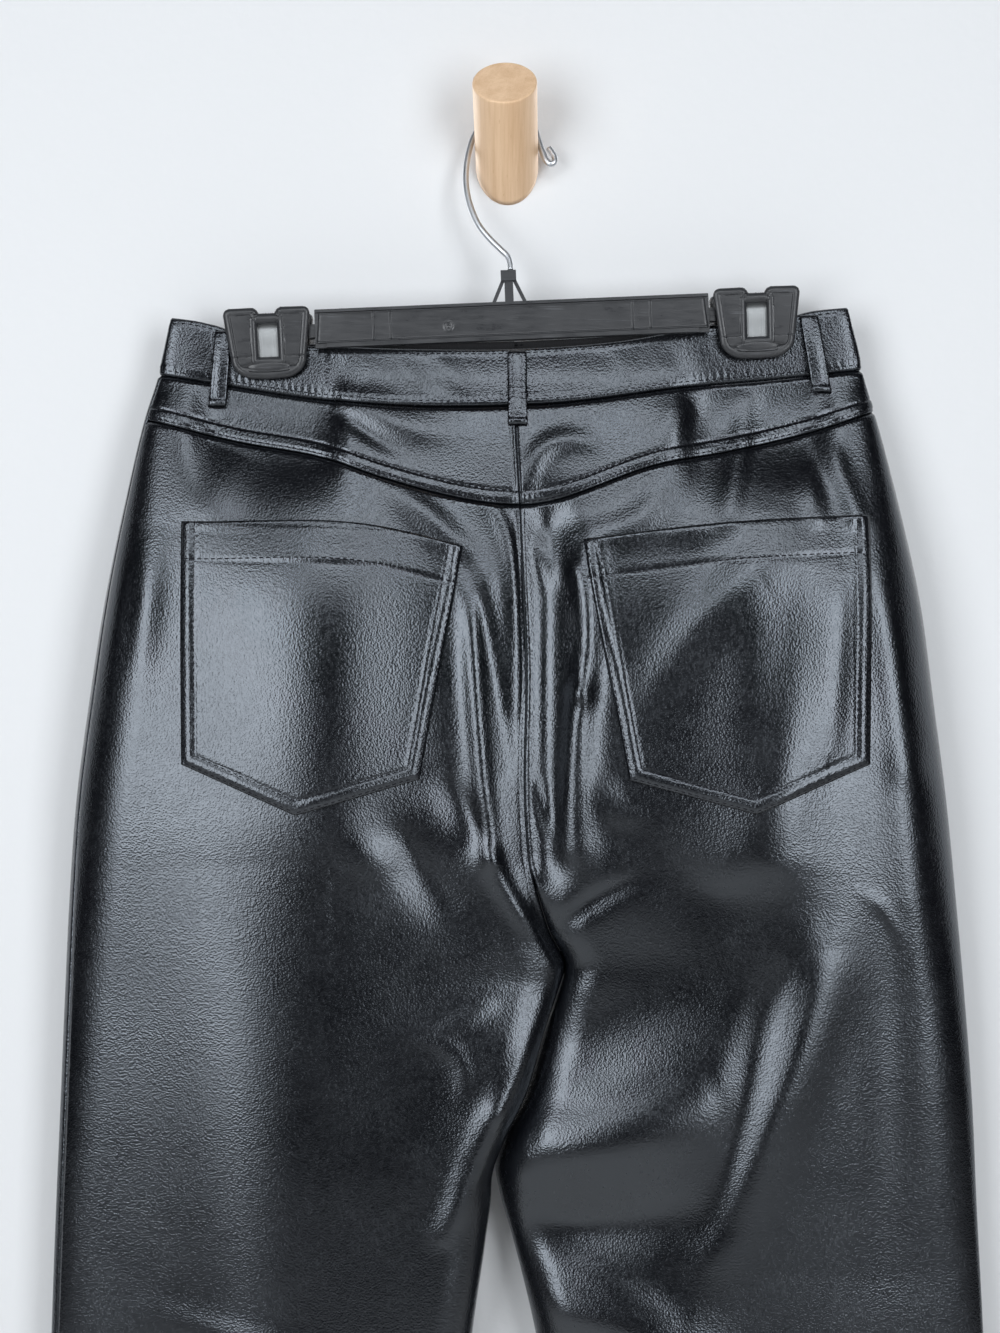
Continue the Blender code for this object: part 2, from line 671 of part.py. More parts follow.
def clip_outline():
    """Half of the jaw's outline from the notch down to the rounded bottom, mirrored to the other half."""
    top = CLIP_HEIGHT / 2
    notch = WINDOW_WIDTH / 2 + 0.5
    corner = 11.0
    half = [(notch - 0.6, top - 2.8), (notch, top), (CLIP_TOP_HALF - 0.8, top), (CLIP_TOP_HALF, top - 0.8)]
    centre = (CLIP_LOW_HALF - corner, -top + corner * 0.8)
    for angle in range(0, 91, 15):
        turn = math.radians(angle)
        half.append((centre[0] + corner * math.cos(turn), centre[1] - corner * 0.8 * math.sin(turn)))
    return half + [(-x, z) for x, z in reversed(half)]


def flat_plate(name, outline, holes, wall, group, finish):
    """A flat outline in x and z with holes, as a filled curve raised by half its thickness each way."""
    curve = bpy.data.curves.new(name, "CURVE")
    curve.dimensions = "2D"
    curve.fill_mode = "BOTH"
    curve.extrude = wall / 2 * MM
    for points in (outline, *holes):
        line = curve.splines.new("POLY")
        line.points.add(len(points) - 1)
        for point, (x, z) in zip(line.points, points):
            point.co = (x * MM, z * MM, 0, 1)
        line.use_cyclic_u = True
    helper = bpy.data.objects.new(name + "_curve", curve)
    bpy.context.scene.collection.objects.link(helper)
    graph = bpy.context.evaluated_depsgraph_get()
    mesh = bpy.data.meshes.new_from_object(helper.evaluated_get(graph))
    bpy.data.objects.remove(helper)
    build = bmesh.new()
    build.from_mesh(mesh)
    bmesh.ops.remove_doubles(build, verts=build.verts, dist=1e-6)
    bmesh.ops.rotate(build, verts=build.verts, matrix=Matrix.Rotation(math.pi / 2, 3, "X"))
    build.to_mesh(mesh)
    build.free()
    mesh.name = name
    return add_object(name, mesh, group, finish)


def rectangle(x0, z0, x1, z1):
    return [(x0, z0), (x1, z0), (x1, z1), (x0, z1)]


def jaw_face(z):
    """The distance of a jaw's inner face from the clip's middle plane, at a height on the clip."""
    return CLIP_BITE + (z + CLIP_HEIGHT / 2) * math.tan(CLIP_LEAN)


def add_clip(name, sign, group, finish, steel, parent):
    """Two jaws that lean away from each other towards the top, and the spring that shuts them."""
    window = rectangle(-WINDOW_WIDTH / 2, -11.0, WINDOW_WIDTH / 2, 11.0)
    hub = bpy.data.objects.new(name + "_place", None)
    group.objects.link(hub)
    hub.parent = parent
    hub.location = Vector((sign * CLIP_REACH, 0, CLIP_DROP)) * MM
    for layer, word in ((BACK, "front"), (FRONT, "back")):
        jaw = flat_plate(f"{name}_{word}", clip_outline(), [window], CLIP_WALL, group, finish)
        jaw.parent = hub
        jaw.rotation_euler = (layer * CLIP_LEAN, 0, 0)
        reach = CLIP_WALL / 2 / math.cos(CLIP_LEAN) + jaw_face(0.0)
        jaw.location = Vector((0, -layer * reach, 0)) * MM
    leg = CLIP_WALL / 2
    half = [
        (jaw_face(-10.4) + leg, -10.4), (jaw_face(-3.0) + leg, -3.0), (jaw_face(5.5) + leg, 5.5),
        (jaw_face(7.0) + leg * 0.5, 8.0), (5.1, 9.6), (4.0, 11.2), (2.2, 12.6),
    ]
    profile = [(-y, z) for y, z in half] + [(0.0, 13.1)] + [(y, z) for y, z in reversed(half)]
    sideways = np.array([-0.5, 0.5]) * SPRING_WIDTH
    grid = np.array([[(x, y, z) for x in sideways] for y, z in profile])
    spring = add_object(f"{name}_spring", sheet_mesh(f"{name}_spring", grid), group, steel)
    give_wall(spring, SPRING_WALL)
    spring.parent = hub


def add_hook(group, finish):
    """The hook's wire: a smooth curve through its route, in a plane that leans to the wall."""
    route = np.array(WIRE_ROUTE)
    lengths = np.concatenate([[0], np.cumsum(np.linalg.norm(np.diff(route, axis=0), axis=1))])
    at = np.linspace(0, lengths[-1], 64)
    x, z = along(at, lengths, route[:, 0]), along(at, lengths, route[:, 1])
    low, high = route[:, 1].min(), route[:, 1].max()
    y = WIRE_LOW_Y + (WIRE_TOP_Y - WIRE_LOW_Y) * (z - low) / (high - low)
    curve = bpy.data.curves.new("hanger_hook", "CURVE")
    curve.dimensions = "3D"
    curve.bevel_depth = WIRE_DIAMETER / 2 * MM
    curve.bevel_resolution = 2
    curve.use_fill_caps = True
    line = curve.splines.new("POLY")
    line.points.add(len(at) - 1)
    for point, place in zip(line.points, np.stack([x, y, z], -1) * MM):
        point.co = (*place, 1)
    return add_object("hanger_hook", curve, group, finish)


def add_peg(group, finish):
    """A round dowel cut off by the wall plane, with a slightly eased end."""
    direction = Vector((PEG_SIDEWAYS, -math.cos(PEG_RISE), math.sin(PEG_RISE))).normalized()
    build = bmesh.new()
    spare = PEG_DIAMETER
    length = PEG_LENGTH + spare
    bmesh.ops.create_cone(
        build, cap_ends=True, segments=48, depth=length * MM,
        radius1=PEG_DIAMETER / 2 * MM, radius2=PEG_DIAMETER / 2 * MM,
    )
    end = [edge for edge in build.edges if all(v.co.z > length / 2 * MM - 1e-6 for v in edge.verts)]
    bmesh.ops.bevel(build, geom=end, offset=PEG_EDGE * MM, segments=2, affect="EDGES", profile=0.5)
    turn = Vector((0, 0, 1)).rotation_difference(direction).to_matrix().to_4x4()
    middle = direction * (PEG_LENGTH - length / 2) * MM
    bmesh.ops.transform(build, verts=build.verts, matrix=Matrix.Translation(middle) @ turn)
    cut = bmesh.ops.bisect_plane(
        build, geom=build.verts[:] + build.edges[:] + build.faces[:], dist=1e-7,
        plane_co=(0, 0, 0), plane_no=(0, 1, 0), clear_outer=True,
    )
    rim = [item for item in cut["geom_cut"] if isinstance(item, bmesh.types.BMEdge)]
    bmesh.ops.contextual_create(build, geom=rim)
    bmesh.ops.recalc_face_normals(build, faces=build.faces)
    mesh = bpy.data.meshes.new("wall_peg")
    build.to_mesh(mesh)
    build.free()
    return add_object("wall_peg", mesh, group, finish)


def main():
    for old in list(bpy.data.objects):
        bpy.data.objects.remove(old)
    trousers = collection("faux_leather_trousers")
    cutters = collection("cutters")
    leather = leather_material()
    plastic = plastic_material()
    steel = spring_material()

    add_leg_panels(trousers, leather)
    add_waistband(trousers, leather)
    add_pockets(trousers, cutters, leather)
    add_fly(trousers, cutters, leather)
    add_loops(trousers, leather)
    add_waist_button(trousers, button_material())

    hanger = bpy.data.objects.new("hanger_place", None)
    trousers.objects.link(hanger)
    hanger.location = Vector((HANGER_X, HANGER_Y, HANGER_Z)) * MM
    hanger.rotation_euler = (0, -HANGER_TILT, 0)
    add_bar(trousers, cutters, plastic, hanger)
    add_clip("clip_left", -1, trousers, plastic, steel, hanger)
    add_clip("clip_right", 1, trousers, plastic, steel, hanger)
    add_hook(trousers, wire_material())
    add_peg(trousers, wood_material())


main()
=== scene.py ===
"""Faux leather trousers, hung by the waist from a clip hanger on a wooden wall peg.

Tables and named sizes are in millimetres: +X to the right, +Y into the wall, +Z up, and the origin in the
middle of the peg's cut face. The cloth is a tube that flattens towards the waist and splits into two legs. A
point of it is found from its side (-1 left, 1 right), its layer (1 back, -1 front), its distance from the
outer edge and its height. The seams, folds and stitches are worked out on that tube.
"""

import math

import bpy
import numpy as np
from bpy.props import FloatProperty, FloatVectorProperty, PointerProperty
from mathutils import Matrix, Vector


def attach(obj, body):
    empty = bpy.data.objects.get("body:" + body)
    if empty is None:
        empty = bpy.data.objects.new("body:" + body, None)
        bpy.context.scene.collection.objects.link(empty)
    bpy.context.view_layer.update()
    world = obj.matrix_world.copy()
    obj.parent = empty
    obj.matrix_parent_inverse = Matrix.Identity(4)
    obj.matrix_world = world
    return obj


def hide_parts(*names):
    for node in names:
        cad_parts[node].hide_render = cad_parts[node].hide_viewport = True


bl_info = {
    "name": "Faux leather trousers on a clip hanger",
    "version": (1, 0, 0),
    "blender": (4, 5, 0),
    "location": "3D View > Sidebar > Trousers",
    "description": "Builds black faux leather trousers, the clip hanger that holds them and the peg it hangs on",
    "category": "Object",
}

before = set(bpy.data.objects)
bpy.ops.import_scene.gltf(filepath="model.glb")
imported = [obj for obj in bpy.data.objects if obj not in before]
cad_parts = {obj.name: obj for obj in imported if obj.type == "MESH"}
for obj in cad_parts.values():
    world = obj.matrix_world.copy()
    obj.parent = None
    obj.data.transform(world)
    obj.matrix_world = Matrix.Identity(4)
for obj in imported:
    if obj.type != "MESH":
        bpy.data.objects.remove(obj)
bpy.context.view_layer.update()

MM = 0.001
BODY = "root"
LEFT, RIGHT = -1, 1
BACK, FRONT = 1, -1
SIDES = ((LEFT, "left"), (RIGHT, "right"))

HEM_HEIGHT = -1150.0
CROTCH_HEIGHT = -437.0
INNER_ROUND = 22.0
SEAM_GAP = 0.3

# Outer edges and depth of the tube, a row for each level.
LEVEL_NAMES = "height left right middle back front edge"
LEVELS = (
    (-80, -179.5, 182.5, -25.0, 1.3, 5.6, 6),
    (-88, -180.7, 184.0, -25.0, 1.3, 5.8, 6),
    (-106, -184.3, 188.5, -25.0, 2.0, 6.2, 7),
    (-118, -187.0, 191.0, -25.0, 2.8, 6.8, 9),
    (-140, -194.0, 197.5, -24.5, 8.5, 8.6, 15),
    (-186, -205.0, 209.6, -24.0, 16.5, 13.0, 24),
    (-240, -216.0, 221.5, -24.0, 23.0, 15.5, 31),
    (-294, -224.4, 228.8, -24.0, 25.2, 16.5, 33),
    (-348, -231.5, 235.8, -24.0, 24.6, 16.5, 33),
    (-402, -235.4, 241.2, -24.0, 22.3, 16.0, 31),
    (-456, -238.0, 246.1, -24.0, 20.0, 15.0, 28),
    (-510, -240.3, 250.1, -24.0, 18.3, 14.5, 27),
    (-564, -242.8, 252.6, -23.5, 17.2, 14.0, 26),
    (-636, -245.5, 256.4, -23.0, 16.4, 14.0, 25),
    (-800, -249.0, 260.0, -22.5, 15.5, 14.0, 24),
    (-1150, -252.0, 264.0, -22.0, 15.0, 14.0, 24),
)

# Inner edges: the seat seam and the front seam down to the crotch, and the two inside legs below it.
INNER_NAMES = "height back_left back_right front_left front_right"
INNER = (
    (-80, 5.0, 5.0, 4.0, 4.0),
    (-148, 5.1, 5.1, 4.0, 4.0),
    (-190, 7.3, 7.3, 5.0, 5.0),
    (-230, 8.9, 8.9, 6.0, 6.0),
    (-267, 10.5, 10.5, 7.0, 7.0),
    (-362, 10.7, 10.7, 11.0, 11.0),
    (-382, 12.6, 12.6, 13.0, 13.0),
    (-400, 17.0, 17.0, 17.0, 17.0),
    (-418, 22.5, 22.5, 22.5, 22.5),
    (-437, 31.0, 31.0, 31.0, 31.0),
    (-452, 27.0, 27.6, 27.0, 27.6),
    (-468, 21.3, 21.6, 21.3, 21.6),
    (-508, 9.0, 8.0, 9.0, 8.0),
    (-528, -0.7, -1.8, -0.7, -1.8),
    (-549, -8.0, -6.5, -8.0, -6.5),
    (-560, -8.6, -4.5, -8.6, -4.5),
    (-583, -11.5, 2.0, -11.5, 2.0),
    (-636, -19.0, 15.0, -19.0, 15.0),
    (-800, -27.0, 30.0, -27.0, 30.0),
    (-1150, -34.0, 38.0, -34.0, 38.0),
)

# Heights of the waistband's top edge, the waist seam and the yoke seam, along x.
TOP_EDGE = (
    (-181, -88.2), (-163, -91.0), (-150, -95.2), (-141, -101.6), (-129, -103.4), (-106, -103.6), (-50, -105.2),
    (2, -105.2), (60, -101.0), (106, -93.6), (134, -91.4), (149, -89.4), (158, -86.2), (184, -82.6),
)
FRONT_TOP_EDGE = (
    (-181, -88.2), (-163, -91.0), (-150, -95.2), (-141, -101.6), (-129, -103.4), (-106, -102.0), (-50, -100.5),
    (2, -99.5), (60, -96.5), (106, -91.8), (134, -91.4), (149, -89.4), (158, -86.2), (184, -82.6),
)
WAIST_SEAM = (
    (-187, -118.9), (-151, -124.7), (-107, -131.5), (-68, -135.3), (7, -135.6), (21, -134.9),
    (104, -124.7), (136, -122.0), (191, -116.2),
)
YOKE_SEAM = (
    (-195, -143.3), (-144, -155.5), (-98, -164.5), (-67, -175.2), (6, -189.8), (8, -189.8),
    (81, -168.0), (135, -157.1), (188, -142.2), (198, -138.5),
)

# The broad folds that the cloth's solids have: a straight ridge (height over 0) or trough from start to end.
# Columns: start x and z, end x and z, half width, height.
BROAD_BACK = (
    (21, -205, 21, -375, 13, -6.0),
    (38, -225, 34, -370, 12, 3.5),
    (-17, -235, -10, -375, 12, 3.0),
)
BROAD_FRONT = (
    (-130, -420, -125, -900, 30, 3.0),
    (140, -430, 135, -1000, 30, 3.0),
)

# Creases and swells on top of those, each along a curve through three points. Columns: x and z of the start,
# the middle and the end, the half widths on the side of lower x and of higher x (below and above where the
# curve runs level), and the heights at the start, the middle and the end.
CREASES_BACK = (
    # the roundness of each half and of each thigh
    (-96, -168, -95, -258, -94, -350, 44, 38, 3.0, 6.0, 4.5),
    (148, -190, 141, -270, 139, -372, 26, 24, 2.0, 5.5, 4.5),
    (-141, -380, -130, -600, -119, -820, 46, 66, 1.0, 7.0, 5.0),
    # under the right half of the seat the cloth falls in, then stands out over the thigh in two rolls
    (30, -450, 90, -442, 150, -450, 38, 34, -5.0, -6.5, -1.0),
    (14, -532, 50, -526, 112, -508, 22, 25, 7.0, 9.5, 1.5),
    (20, -572, 50, -574, 108, -566, 14, 16, -2.0, -3.5, -0.6),
    (16, -618, 60, -627, 116, -655, 22, 22, 6.0, 8.0, 1.5),
    # left hip and the cloth beside the pocket
    (-190, -215, -191, -245, -196, -280, 7, 9, 0.6, 1.6, 0.2),
    (-206, -215, -208, -245, -214, -282, 6, 7, 0.4, 1.4, 0.2),
    (-150, -160, -156, -180, -160, -205, 20, 16, 1.0, 2.4, 0.8),
    (-58, -184, -42, -196, -24, -214, 9, 7, 1.2, 2.4, 1.6),
    # left yoke
    (-92, -138, -76, -150, -55, -163, 5, 7, -0.6, -1.8, -0.2),
    (-84, -134, -62, -145, -30, -152, 8, 10, 0.4, 1.6, 0.4),
    # beside the seat seam, left
    (-19, -240, -16, -300, -8, -378, 5, 4, 0.6, 2.6, 1.8),
    (-8, -376, 3, -400, 26, -431, 6, 4, 1.8, 2.8, 2.0),
    (-8, -191, 3, -225, 5, -298, 5, 3, 0.8, 1.8, 0.6),
    (-28, -215, -14, -245, 0, -330, 5, 5, -0.4, -1.6, -0.6),
    (-36, -330, -22, -352, -12, -372, 10, 7, 0.2, -2.2, -0.4),
    (-66, -355, -46, -385, -26, -412, 12, 12, -0.6, -2.6, -0.4),
    (-84, -368, -70, -376, -52, -372, 12, 10, 0.4, 1.6, 0.2),
    # left thigh
    (-57, -470, -28, -480, -24, -502, 5, 5, 0.2, 1.3, 0.3),
    (-40, -470, -22, -462, -6, -452, 6, 6, 0.2, 1.2, 0.2),
    (26, -438, 14, -476, -4, -512, 6, 4, 1.4, 2.4, 1.6),
    (-4, -512, -17, -545, -33, -575, 8, 6, 1.6, 2.6, 1.2),
    (-190, -620, -130, -632, -90, -640, 8, 8, 0.2, 1.0, 0.2),
    # beside the seat seam, right
    (37, -225, 42, -255, 37, -290, 4, 8, 1.6, 3.0, 2.6),
    (37, -290, 33, -330, 31, -372, 4, 8, 2.6, 2.6, 0.8),
    (18, -208, 20, -220, 24, -236, 4, 5, 0.6, 1.8, 0.4),
    (16, -334, 18, -350, 22, -366, 3, 4, 0.4, 1.6, 0.2),
    # right yoke and the cloth above the pocket
    (12, -176, 22, -158, 44, -156, 6, 6, 0.8, 2.0, 0.6),
    (98, -134, 88, -146, 78, -166, 10, 8, 0.4, 1.4, 0.6),
    (131, -132, 124, -162, 117, -196, 7, 6, 0.6, 2.4, 1.4),
    (160, -165, 161, -180, 163, -196, 6, 6, 0.4, 1.8, 1.4),
    (166, -152, 175, -170, 184, -196, 6, 6, 0.6, 2.2, 1.6),
    (46, -206, 72, -196, 82, -176, 8, 10, 1.6, 2.0, 0.6),
    # right pocket
    (130, -226, 104, -250, 72, -296, 12, 14, 1.0, 2.2, 0.6),
    (146, -222, 142, -265, 132, -330, 16, 14, -0.8, -2.6, -1.4),
    (174, -230, 172, -270, 168, -318, 12, 8, 0.6, 1.8, 1.0),
    # right side
    (196, -228, 205, -275, 212, -330, 9, 10, 0.8, 2.0, 1.4),
    (212, -330, 216, -380, 216, -440, 13, 12, 1.4, 1.2, 0.3),
    (199, -400, 203, -480, 203, -600, 17, 15, -0.4, -2.4, -0.6),
    (184, -394, 198, -404, 210, -424, 3.0, 3.0, 0.1, 0.6, 0.1),
    # under the right pocket
    (52, -342, 60, -352, 76, -350, 8, 8, 1.2, 1.8, 0.6),
    (30, -412, 48, -398, 70, -388, 5, 6, -1.4, -2.0, -0.4),
    (70, -365, 110, -400, 140, -380, 22, 16, -0.6, -3.2, -0.6),
    # right thigh
    (166, -425, 152, -490, 100, -610, 11, 16, 1.0, 4.0, 1.0),
    (142, -444, 128, -488, 112, -570, 11, 10, -1.0, -2.4, -1.0),
    (16, -492, 40, -500, 70, -494, 7, 8, 0.4, 1.0, 0.4),
    (24, -596, 50, -602, 84, -618, 6, 7, 0.4, 1.0, 0.4),
)
# Lines past which the cloth leans away towards the outer edge, flat on both sides of a soft bend. Columns:
# side, x and z of three points of the line, slope past it, softness of the bend.
LEANS_BACK = (
    (LEFT, -174, -335, -148, -430, -134, -640, 0.085, 9.0),
    (RIGHT, 184, -400, 138, -515, 104, -600, 0.07, 16.0),
)
# The same kind of creases on the front, which hangs towards the wall.
CREASES_FRONT = (
    (-150, -200, -120, -260, -105, -340, 14, 12, 0.6, 1.8, 0.4),
    (-60, -180, -45, -230, -20, -300, 9, 8, 0.4, -1.6, -0.6),
    (60, -180, 52, -235, 26, -305, 9, 8, 0.4, -1.8, -0.4),
    (152, -190, 128, -270, 110, -350, 13, 14, 0.6, 1.8, 0.4),
    (-20, -400, -70, -430, -130, -440, 10, 10, -1.2, -2.0, -0.4),
    (50, -400, 90, -424, 150, -430, 10, 10, -1.2, -2.2, -0.4),
    (-40, -520, -90, -560, -150, -570, 14, 14, 0.6, 1.8, 0.2),
    (60, -500, 100, -540, 160, -560, 14, 14, 0.6, 1.8, 0.2),
)

# How far the back stands out over the middle of each half, and where that middle is.
SEAT_FULLNESS = 7.0
SEAT_MIDDLE = {LEFT: -112.0, RIGHT: 138.0}

# Patch pockets: the mouth's corners, the bottom's corners and its point, an x and a z for each.
POCKET_LEFT = {
    "mouth": ((-172.2, -199.2), (-61.9, -202.9), (-23.4, -212.4)),
    "bottom": ((-171.1, -327.4), (-110.5, -353.8), (-46.1, -335.3)),
}
POCKET_RIGHT = {
    "mouth": ((39.9, -208.7), (110.0, -200.4), (191.8, -195.5)),
    "bottom": ((64.1, -335.9), (129.6, -353.3), (190.2, -327.4)),
}
POCKET_RISE = 2.0
POCKET_HEM = 20.0

# Belt loops: the middle of the top end and of the bottom end, and the width.
LOOPS = (
    ("loop_back_left", BACK, -152.4, -95.4, -155.6, -136.5, 9.2),
    ("loop_back_centre", BACK, 5.2, -106.2, 5.6, -147.0, 10.4),
    ("loop_back_right", BACK, 162.0, -87.0, 168.8, -129.0, 10.0),
    ("loop_front_left", FRONT, -88.0, -102.5, -88.0, -146.0, 10.0),
    ("loop_front_right", FRONT, 92.0, -94.5, 92.0, -138.0, 10.0),
)

FLY_WIDTH, FLY_BOTTOM = 38.0, -290.0
BAND_LAP = 30.0
BUTTON_DIAMETER = 17.0
BUTTON_X, BUTTON_Z = -11.0, -119.0

# Clip hanger: its middle, its tilt and the sizes of its bar and clips.
HANGER_PLACE = (2.5, -25.0, -91.1)
HANGER_TILT = math.radians(2.4)
BAR_LENGTH, BAR_HEIGHT = 211.0, 20.5
BAR_FRONT, BAR_REAR = -8.1, -5.7
CLIP_REACH, CLIP_DROP = 131.0, -6.1
CLIP_HEIGHT = 33.4
CLIP_TOP_HALF, CLIP_LOW_HALF = 21.2, 18.2
CLIP_WALL = 2.4
CLIP_LEAN = math.radians(7.0)
CLIP_BITE = 2.3
WINDOW_WIDTH, WINDOW_HEIGHT = 14.0, 22.0
SPRING_WIDTH, SPRING_WALL = 13.2, 0.8

# Hook wire, from the collar up round the peg to the folded tip: an x and a z for each point.
WIRE_DIAMETER = 3.4
WIRE_ROUTE = (
    (1.7, -63.6), (1.6, -60.5), (0.2, -55.5), (-3.9, -51.0), (-9.0, -45.7), (-15.2, -37.6), (-18.7, -30.0),
    (-21.6, -20.0), (-22.6, -11.0), (-22.2, -2.0), (-20.8, 6.0), (-18.6, 13.5), (-14.6, 20.5), (-8.0, 25.8),
    (0.0, 27.6), (8.0, 25.8), (14.4, 20.5), (17.0, 13.0), (18.4, 8.0), (19.8, 4.0), (21.3, 0.4),
    (23.4, -1.6), (25.6, -0.8), (26.0, 1.5), (24.6, 4.6), (22.4, 8.0),
)
WIRE_TOP_Y, WIRE_LOW_Y = -3.2, -29.2

# Wooden peg, leaning up and out of the wall.
PEG_DIAMETER, PEG_LENGTH = 34.4, 55.6
PEG_RISE = math.radians(37.0)
PEG_SIDEWAYS = -0.026


# ---- sizes and colours that a user would change


class LeatherSettings(bpy.types.PropertyGroup):
    """Faux leather cloth: thickness, finish and how deep its creases are."""

    cloth_wall: FloatProperty(
        name="Cloth thickness", description="Thickness of one layer of the cloth",
        default=1.2 * MM, min=0.5 * MM, max=3 * MM, unit="LENGTH", precision=4,
    )
    band_wall: FloatProperty(
        name="Waistband thickness", description="Thickness of the folded waistband",
        default=1.8 * MM, min=1.0 * MM, max=4 * MM, unit="LENGTH", precision=4,
    )
    crease_depth: FloatProperty(
        name="Crease depth", description="Factor on the height of every crease", default=1.0, min=0.0, max=2.0
    )
    colour: FloatVectorProperty(
        name="Colour", description="Colour of the coated face", default=(0.0022, 0.0025, 0.0036),
        min=0.0, max=1.0, subtype="COLOR",
    )
    worn_colour: FloatVectorProperty(
        name="Rubbed colour", description="Colour where the face is rubbed", default=(0.0042, 0.0044, 0.0058),
        min=0.0, max=1.0, subtype="COLOR",
    )
    lining_colour: FloatVectorProperty(
        name="Backing colour", description="Colour of the knitted backing", default=(0.016, 0.016, 0.018),
        min=0.0, max=1.0, subtype="COLOR",
    )
    roughness: FloatProperty(
        name="Roughness", description="Mean roughness of the coated face", default=0.215, min=0.1, max=0.9
    )
    grain: FloatProperty(
        name="Grain size", description="Distance between grains", default=1.05 * MM, min=0.3 * MM,
        max=5 * MM, unit="LENGTH", precision=4,
    )


class StitchSettings(bpy.types.PropertyGroup):
    """Topstitching thread and its spacing."""

    length: FloatProperty(
        name="Stitch length", description="Length of thread that shows in one stitch", default=2.7 * MM,
        min=1 * MM, max=6 * MM, unit="LENGTH", precision=4,
    )
    gap: FloatProperty(
        name="Stitch gap", description="Gap between two stitches", default=1.0 * MM, min=0.2 * MM,
        max=4 * MM, unit="LENGTH", precision=4,
    )
    thickness: FloatProperty(
        name="Thread thickness", description="Thickness of the thread", default=0.75 * MM, min=0.2 * MM,
        max=2 * MM, unit="LENGTH", precision=4,
    )
    colour: FloatVectorProperty(
        name="Thread colour", description="Colour of the thread", default=(0.006, 0.006, 0.008),
        min=0.0, max=1.0, subtype="COLOR",
    )


class HangerSettings(bpy.types.PropertyGroup):
    """Colours of the hanger and the peg."""

    plastic: FloatVectorProperty(
        name="Plastic", description="Colour of the moulded bar and clips", default=(0.027, 0.028, 0.031),
        min=0.0, max=1.0, subtype="COLOR",
    )
    steel: FloatVectorProperty(
        name="Spring steel", description="Colour of the clip springs", default=(0.33, 0.34, 0.345),
        min=0.0, max=1.0, subtype="COLOR",
    )
    wire: FloatVectorProperty(
        name="Hook wire", description="Colour of the plated hook", default=(0.66, 0.68, 0.71),
        min=0.0, max=1.0, subtype="COLOR",
    )
    wood: FloatVectorProperty(
        name="Wood", description="Pale colour of the peg", default=(0.80, 0.56, 0.36),
        min=0.0, max=1.0, subtype="COLOR",
    )
    wood_dark: FloatVectorProperty(
        name="Wood grain", description="Darker colour of the peg's grain", default=(0.62, 0.39, 0.22),
        min=0.0, max=1.0, subtype="COLOR",
    )


class StageSettings(bpy.types.PropertyGroup):
    """Camera, lights, wall and floor."""

    wall: FloatVectorProperty(
        name="Wall", description="Colour of the painted wall", default=(0.70, 0.705, 0.715),
        min=0.0, max=1.0, subtype="COLOR",
    )
    floor: FloatVectorProperty(
        name="Floor", description="Colour of the floor", default=(0.74, 0.73, 0.71),
        min=0.0, max=1.0, subtype="COLOR",
    )
    lens: FloatProperty(name="Lens", description="Focal length of the camera in millimetres", default=72.0, min=10.0)
    floor_height: FloatProperty(
        name="Floor height", description="Height of the floor under the peg", default=-1.42, unit="LENGTH"
    )
    key_power: FloatProperty(name="Key light", description="Power of the key light", default=18.5, unit="POWER")
    fill_power: FloatProperty(name="Fill light", description="Power of the fill light", default=23.0, unit="POWER")
    top_power: FloatProperty(name="Top light", description="Power of the top light", default=7.5, unit="POWER")
    rear_power: FloatProperty(name="Rear light", description="Power of each light behind", default=20.0, unit="POWER")


# ---- curves, steps and creases


def column(names, rows, name):
    """One named column of a table, as an array."""
    return np.array([row[names.split().index(name)] for row in rows], float)


def along(at, xs, ys):
    """A smooth curve through the points (xs, ys): cubic pieces whose slopes agree where they meet."""
    order = np.argsort(xs)
    xs, ys = np.asarray(xs, float)[order], np.asarray(ys, float)[order]
    slopes = np.gradient(ys, xs)
    at = np.clip(at, xs[0], xs[-1])
    place = np.clip(np.searchsorted(xs, at) - 1, 0, len(xs) - 2)
    width = xs[place + 1] - xs[place]
    t = (at - xs[place]) / width
    rise = (3 - 2 * t) * t * t
    bend = slopes[place] * t * (1 - t) ** 2 - slopes[place + 1] * t * t * (1 - t)
    return ys[place] * (1 - rise) + ys[place + 1] * rise + width * bend


LEVEL_COLUMNS = {name: column(LEVEL_NAMES, LEVELS, name) for name in LEVEL_NAMES.split()}
INNER_COLUMNS = {name: column(INNER_NAMES, INNER, name) for name in INNER_NAMES.split()}


def level(name, height):
    return along(height, LEVEL_COLUMNS["height"], LEVEL_COLUMNS[name])


def inner_edge(side, layer, height):
    name = ("back_" if layer == BACK else "front_") + ("left" if side == LEFT else "right")
    return along(height, INNER_COLUMNS["height"], INNER_COLUMNS[name])


def outer_edge(side, height):
    return level("left" if side == LEFT else "right", height)


def seam_height(rows, x):
    xs, zs = np.array(rows, float).T
    return along(x, xs, zs)


def step(at, start, end):
    """0 before start, 1 after end, smooth between."""
    t = np.clip((at - start) / (end - start), 0, 1)
    return t * t * (3 - 2 * t)


def rounded(distance, radius):
    """A quarter circle that rises from 0 at an edge to 1 a radius away."""
    return np.sqrt(1 - (1 - np.clip(distance / radius, 0, 1)) ** 2)


def bell(distance, half_width):
    """A bell curve: 1 in the middle, a third at the half width."""
    return np.exp(-((distance / half_width) ** 2))


def waver(at, seed):
    """A smooth uneven wave between about -1 and 1: four sines whose lengths share no multiple."""
    total = 0
    for order, length in enumerate((1.0, 0.618, 0.367, 0.219)):
        total = total + math.sqrt(length) * np.sin(at / length + seed * (1.7 + order) + order)
    return total / 2.2


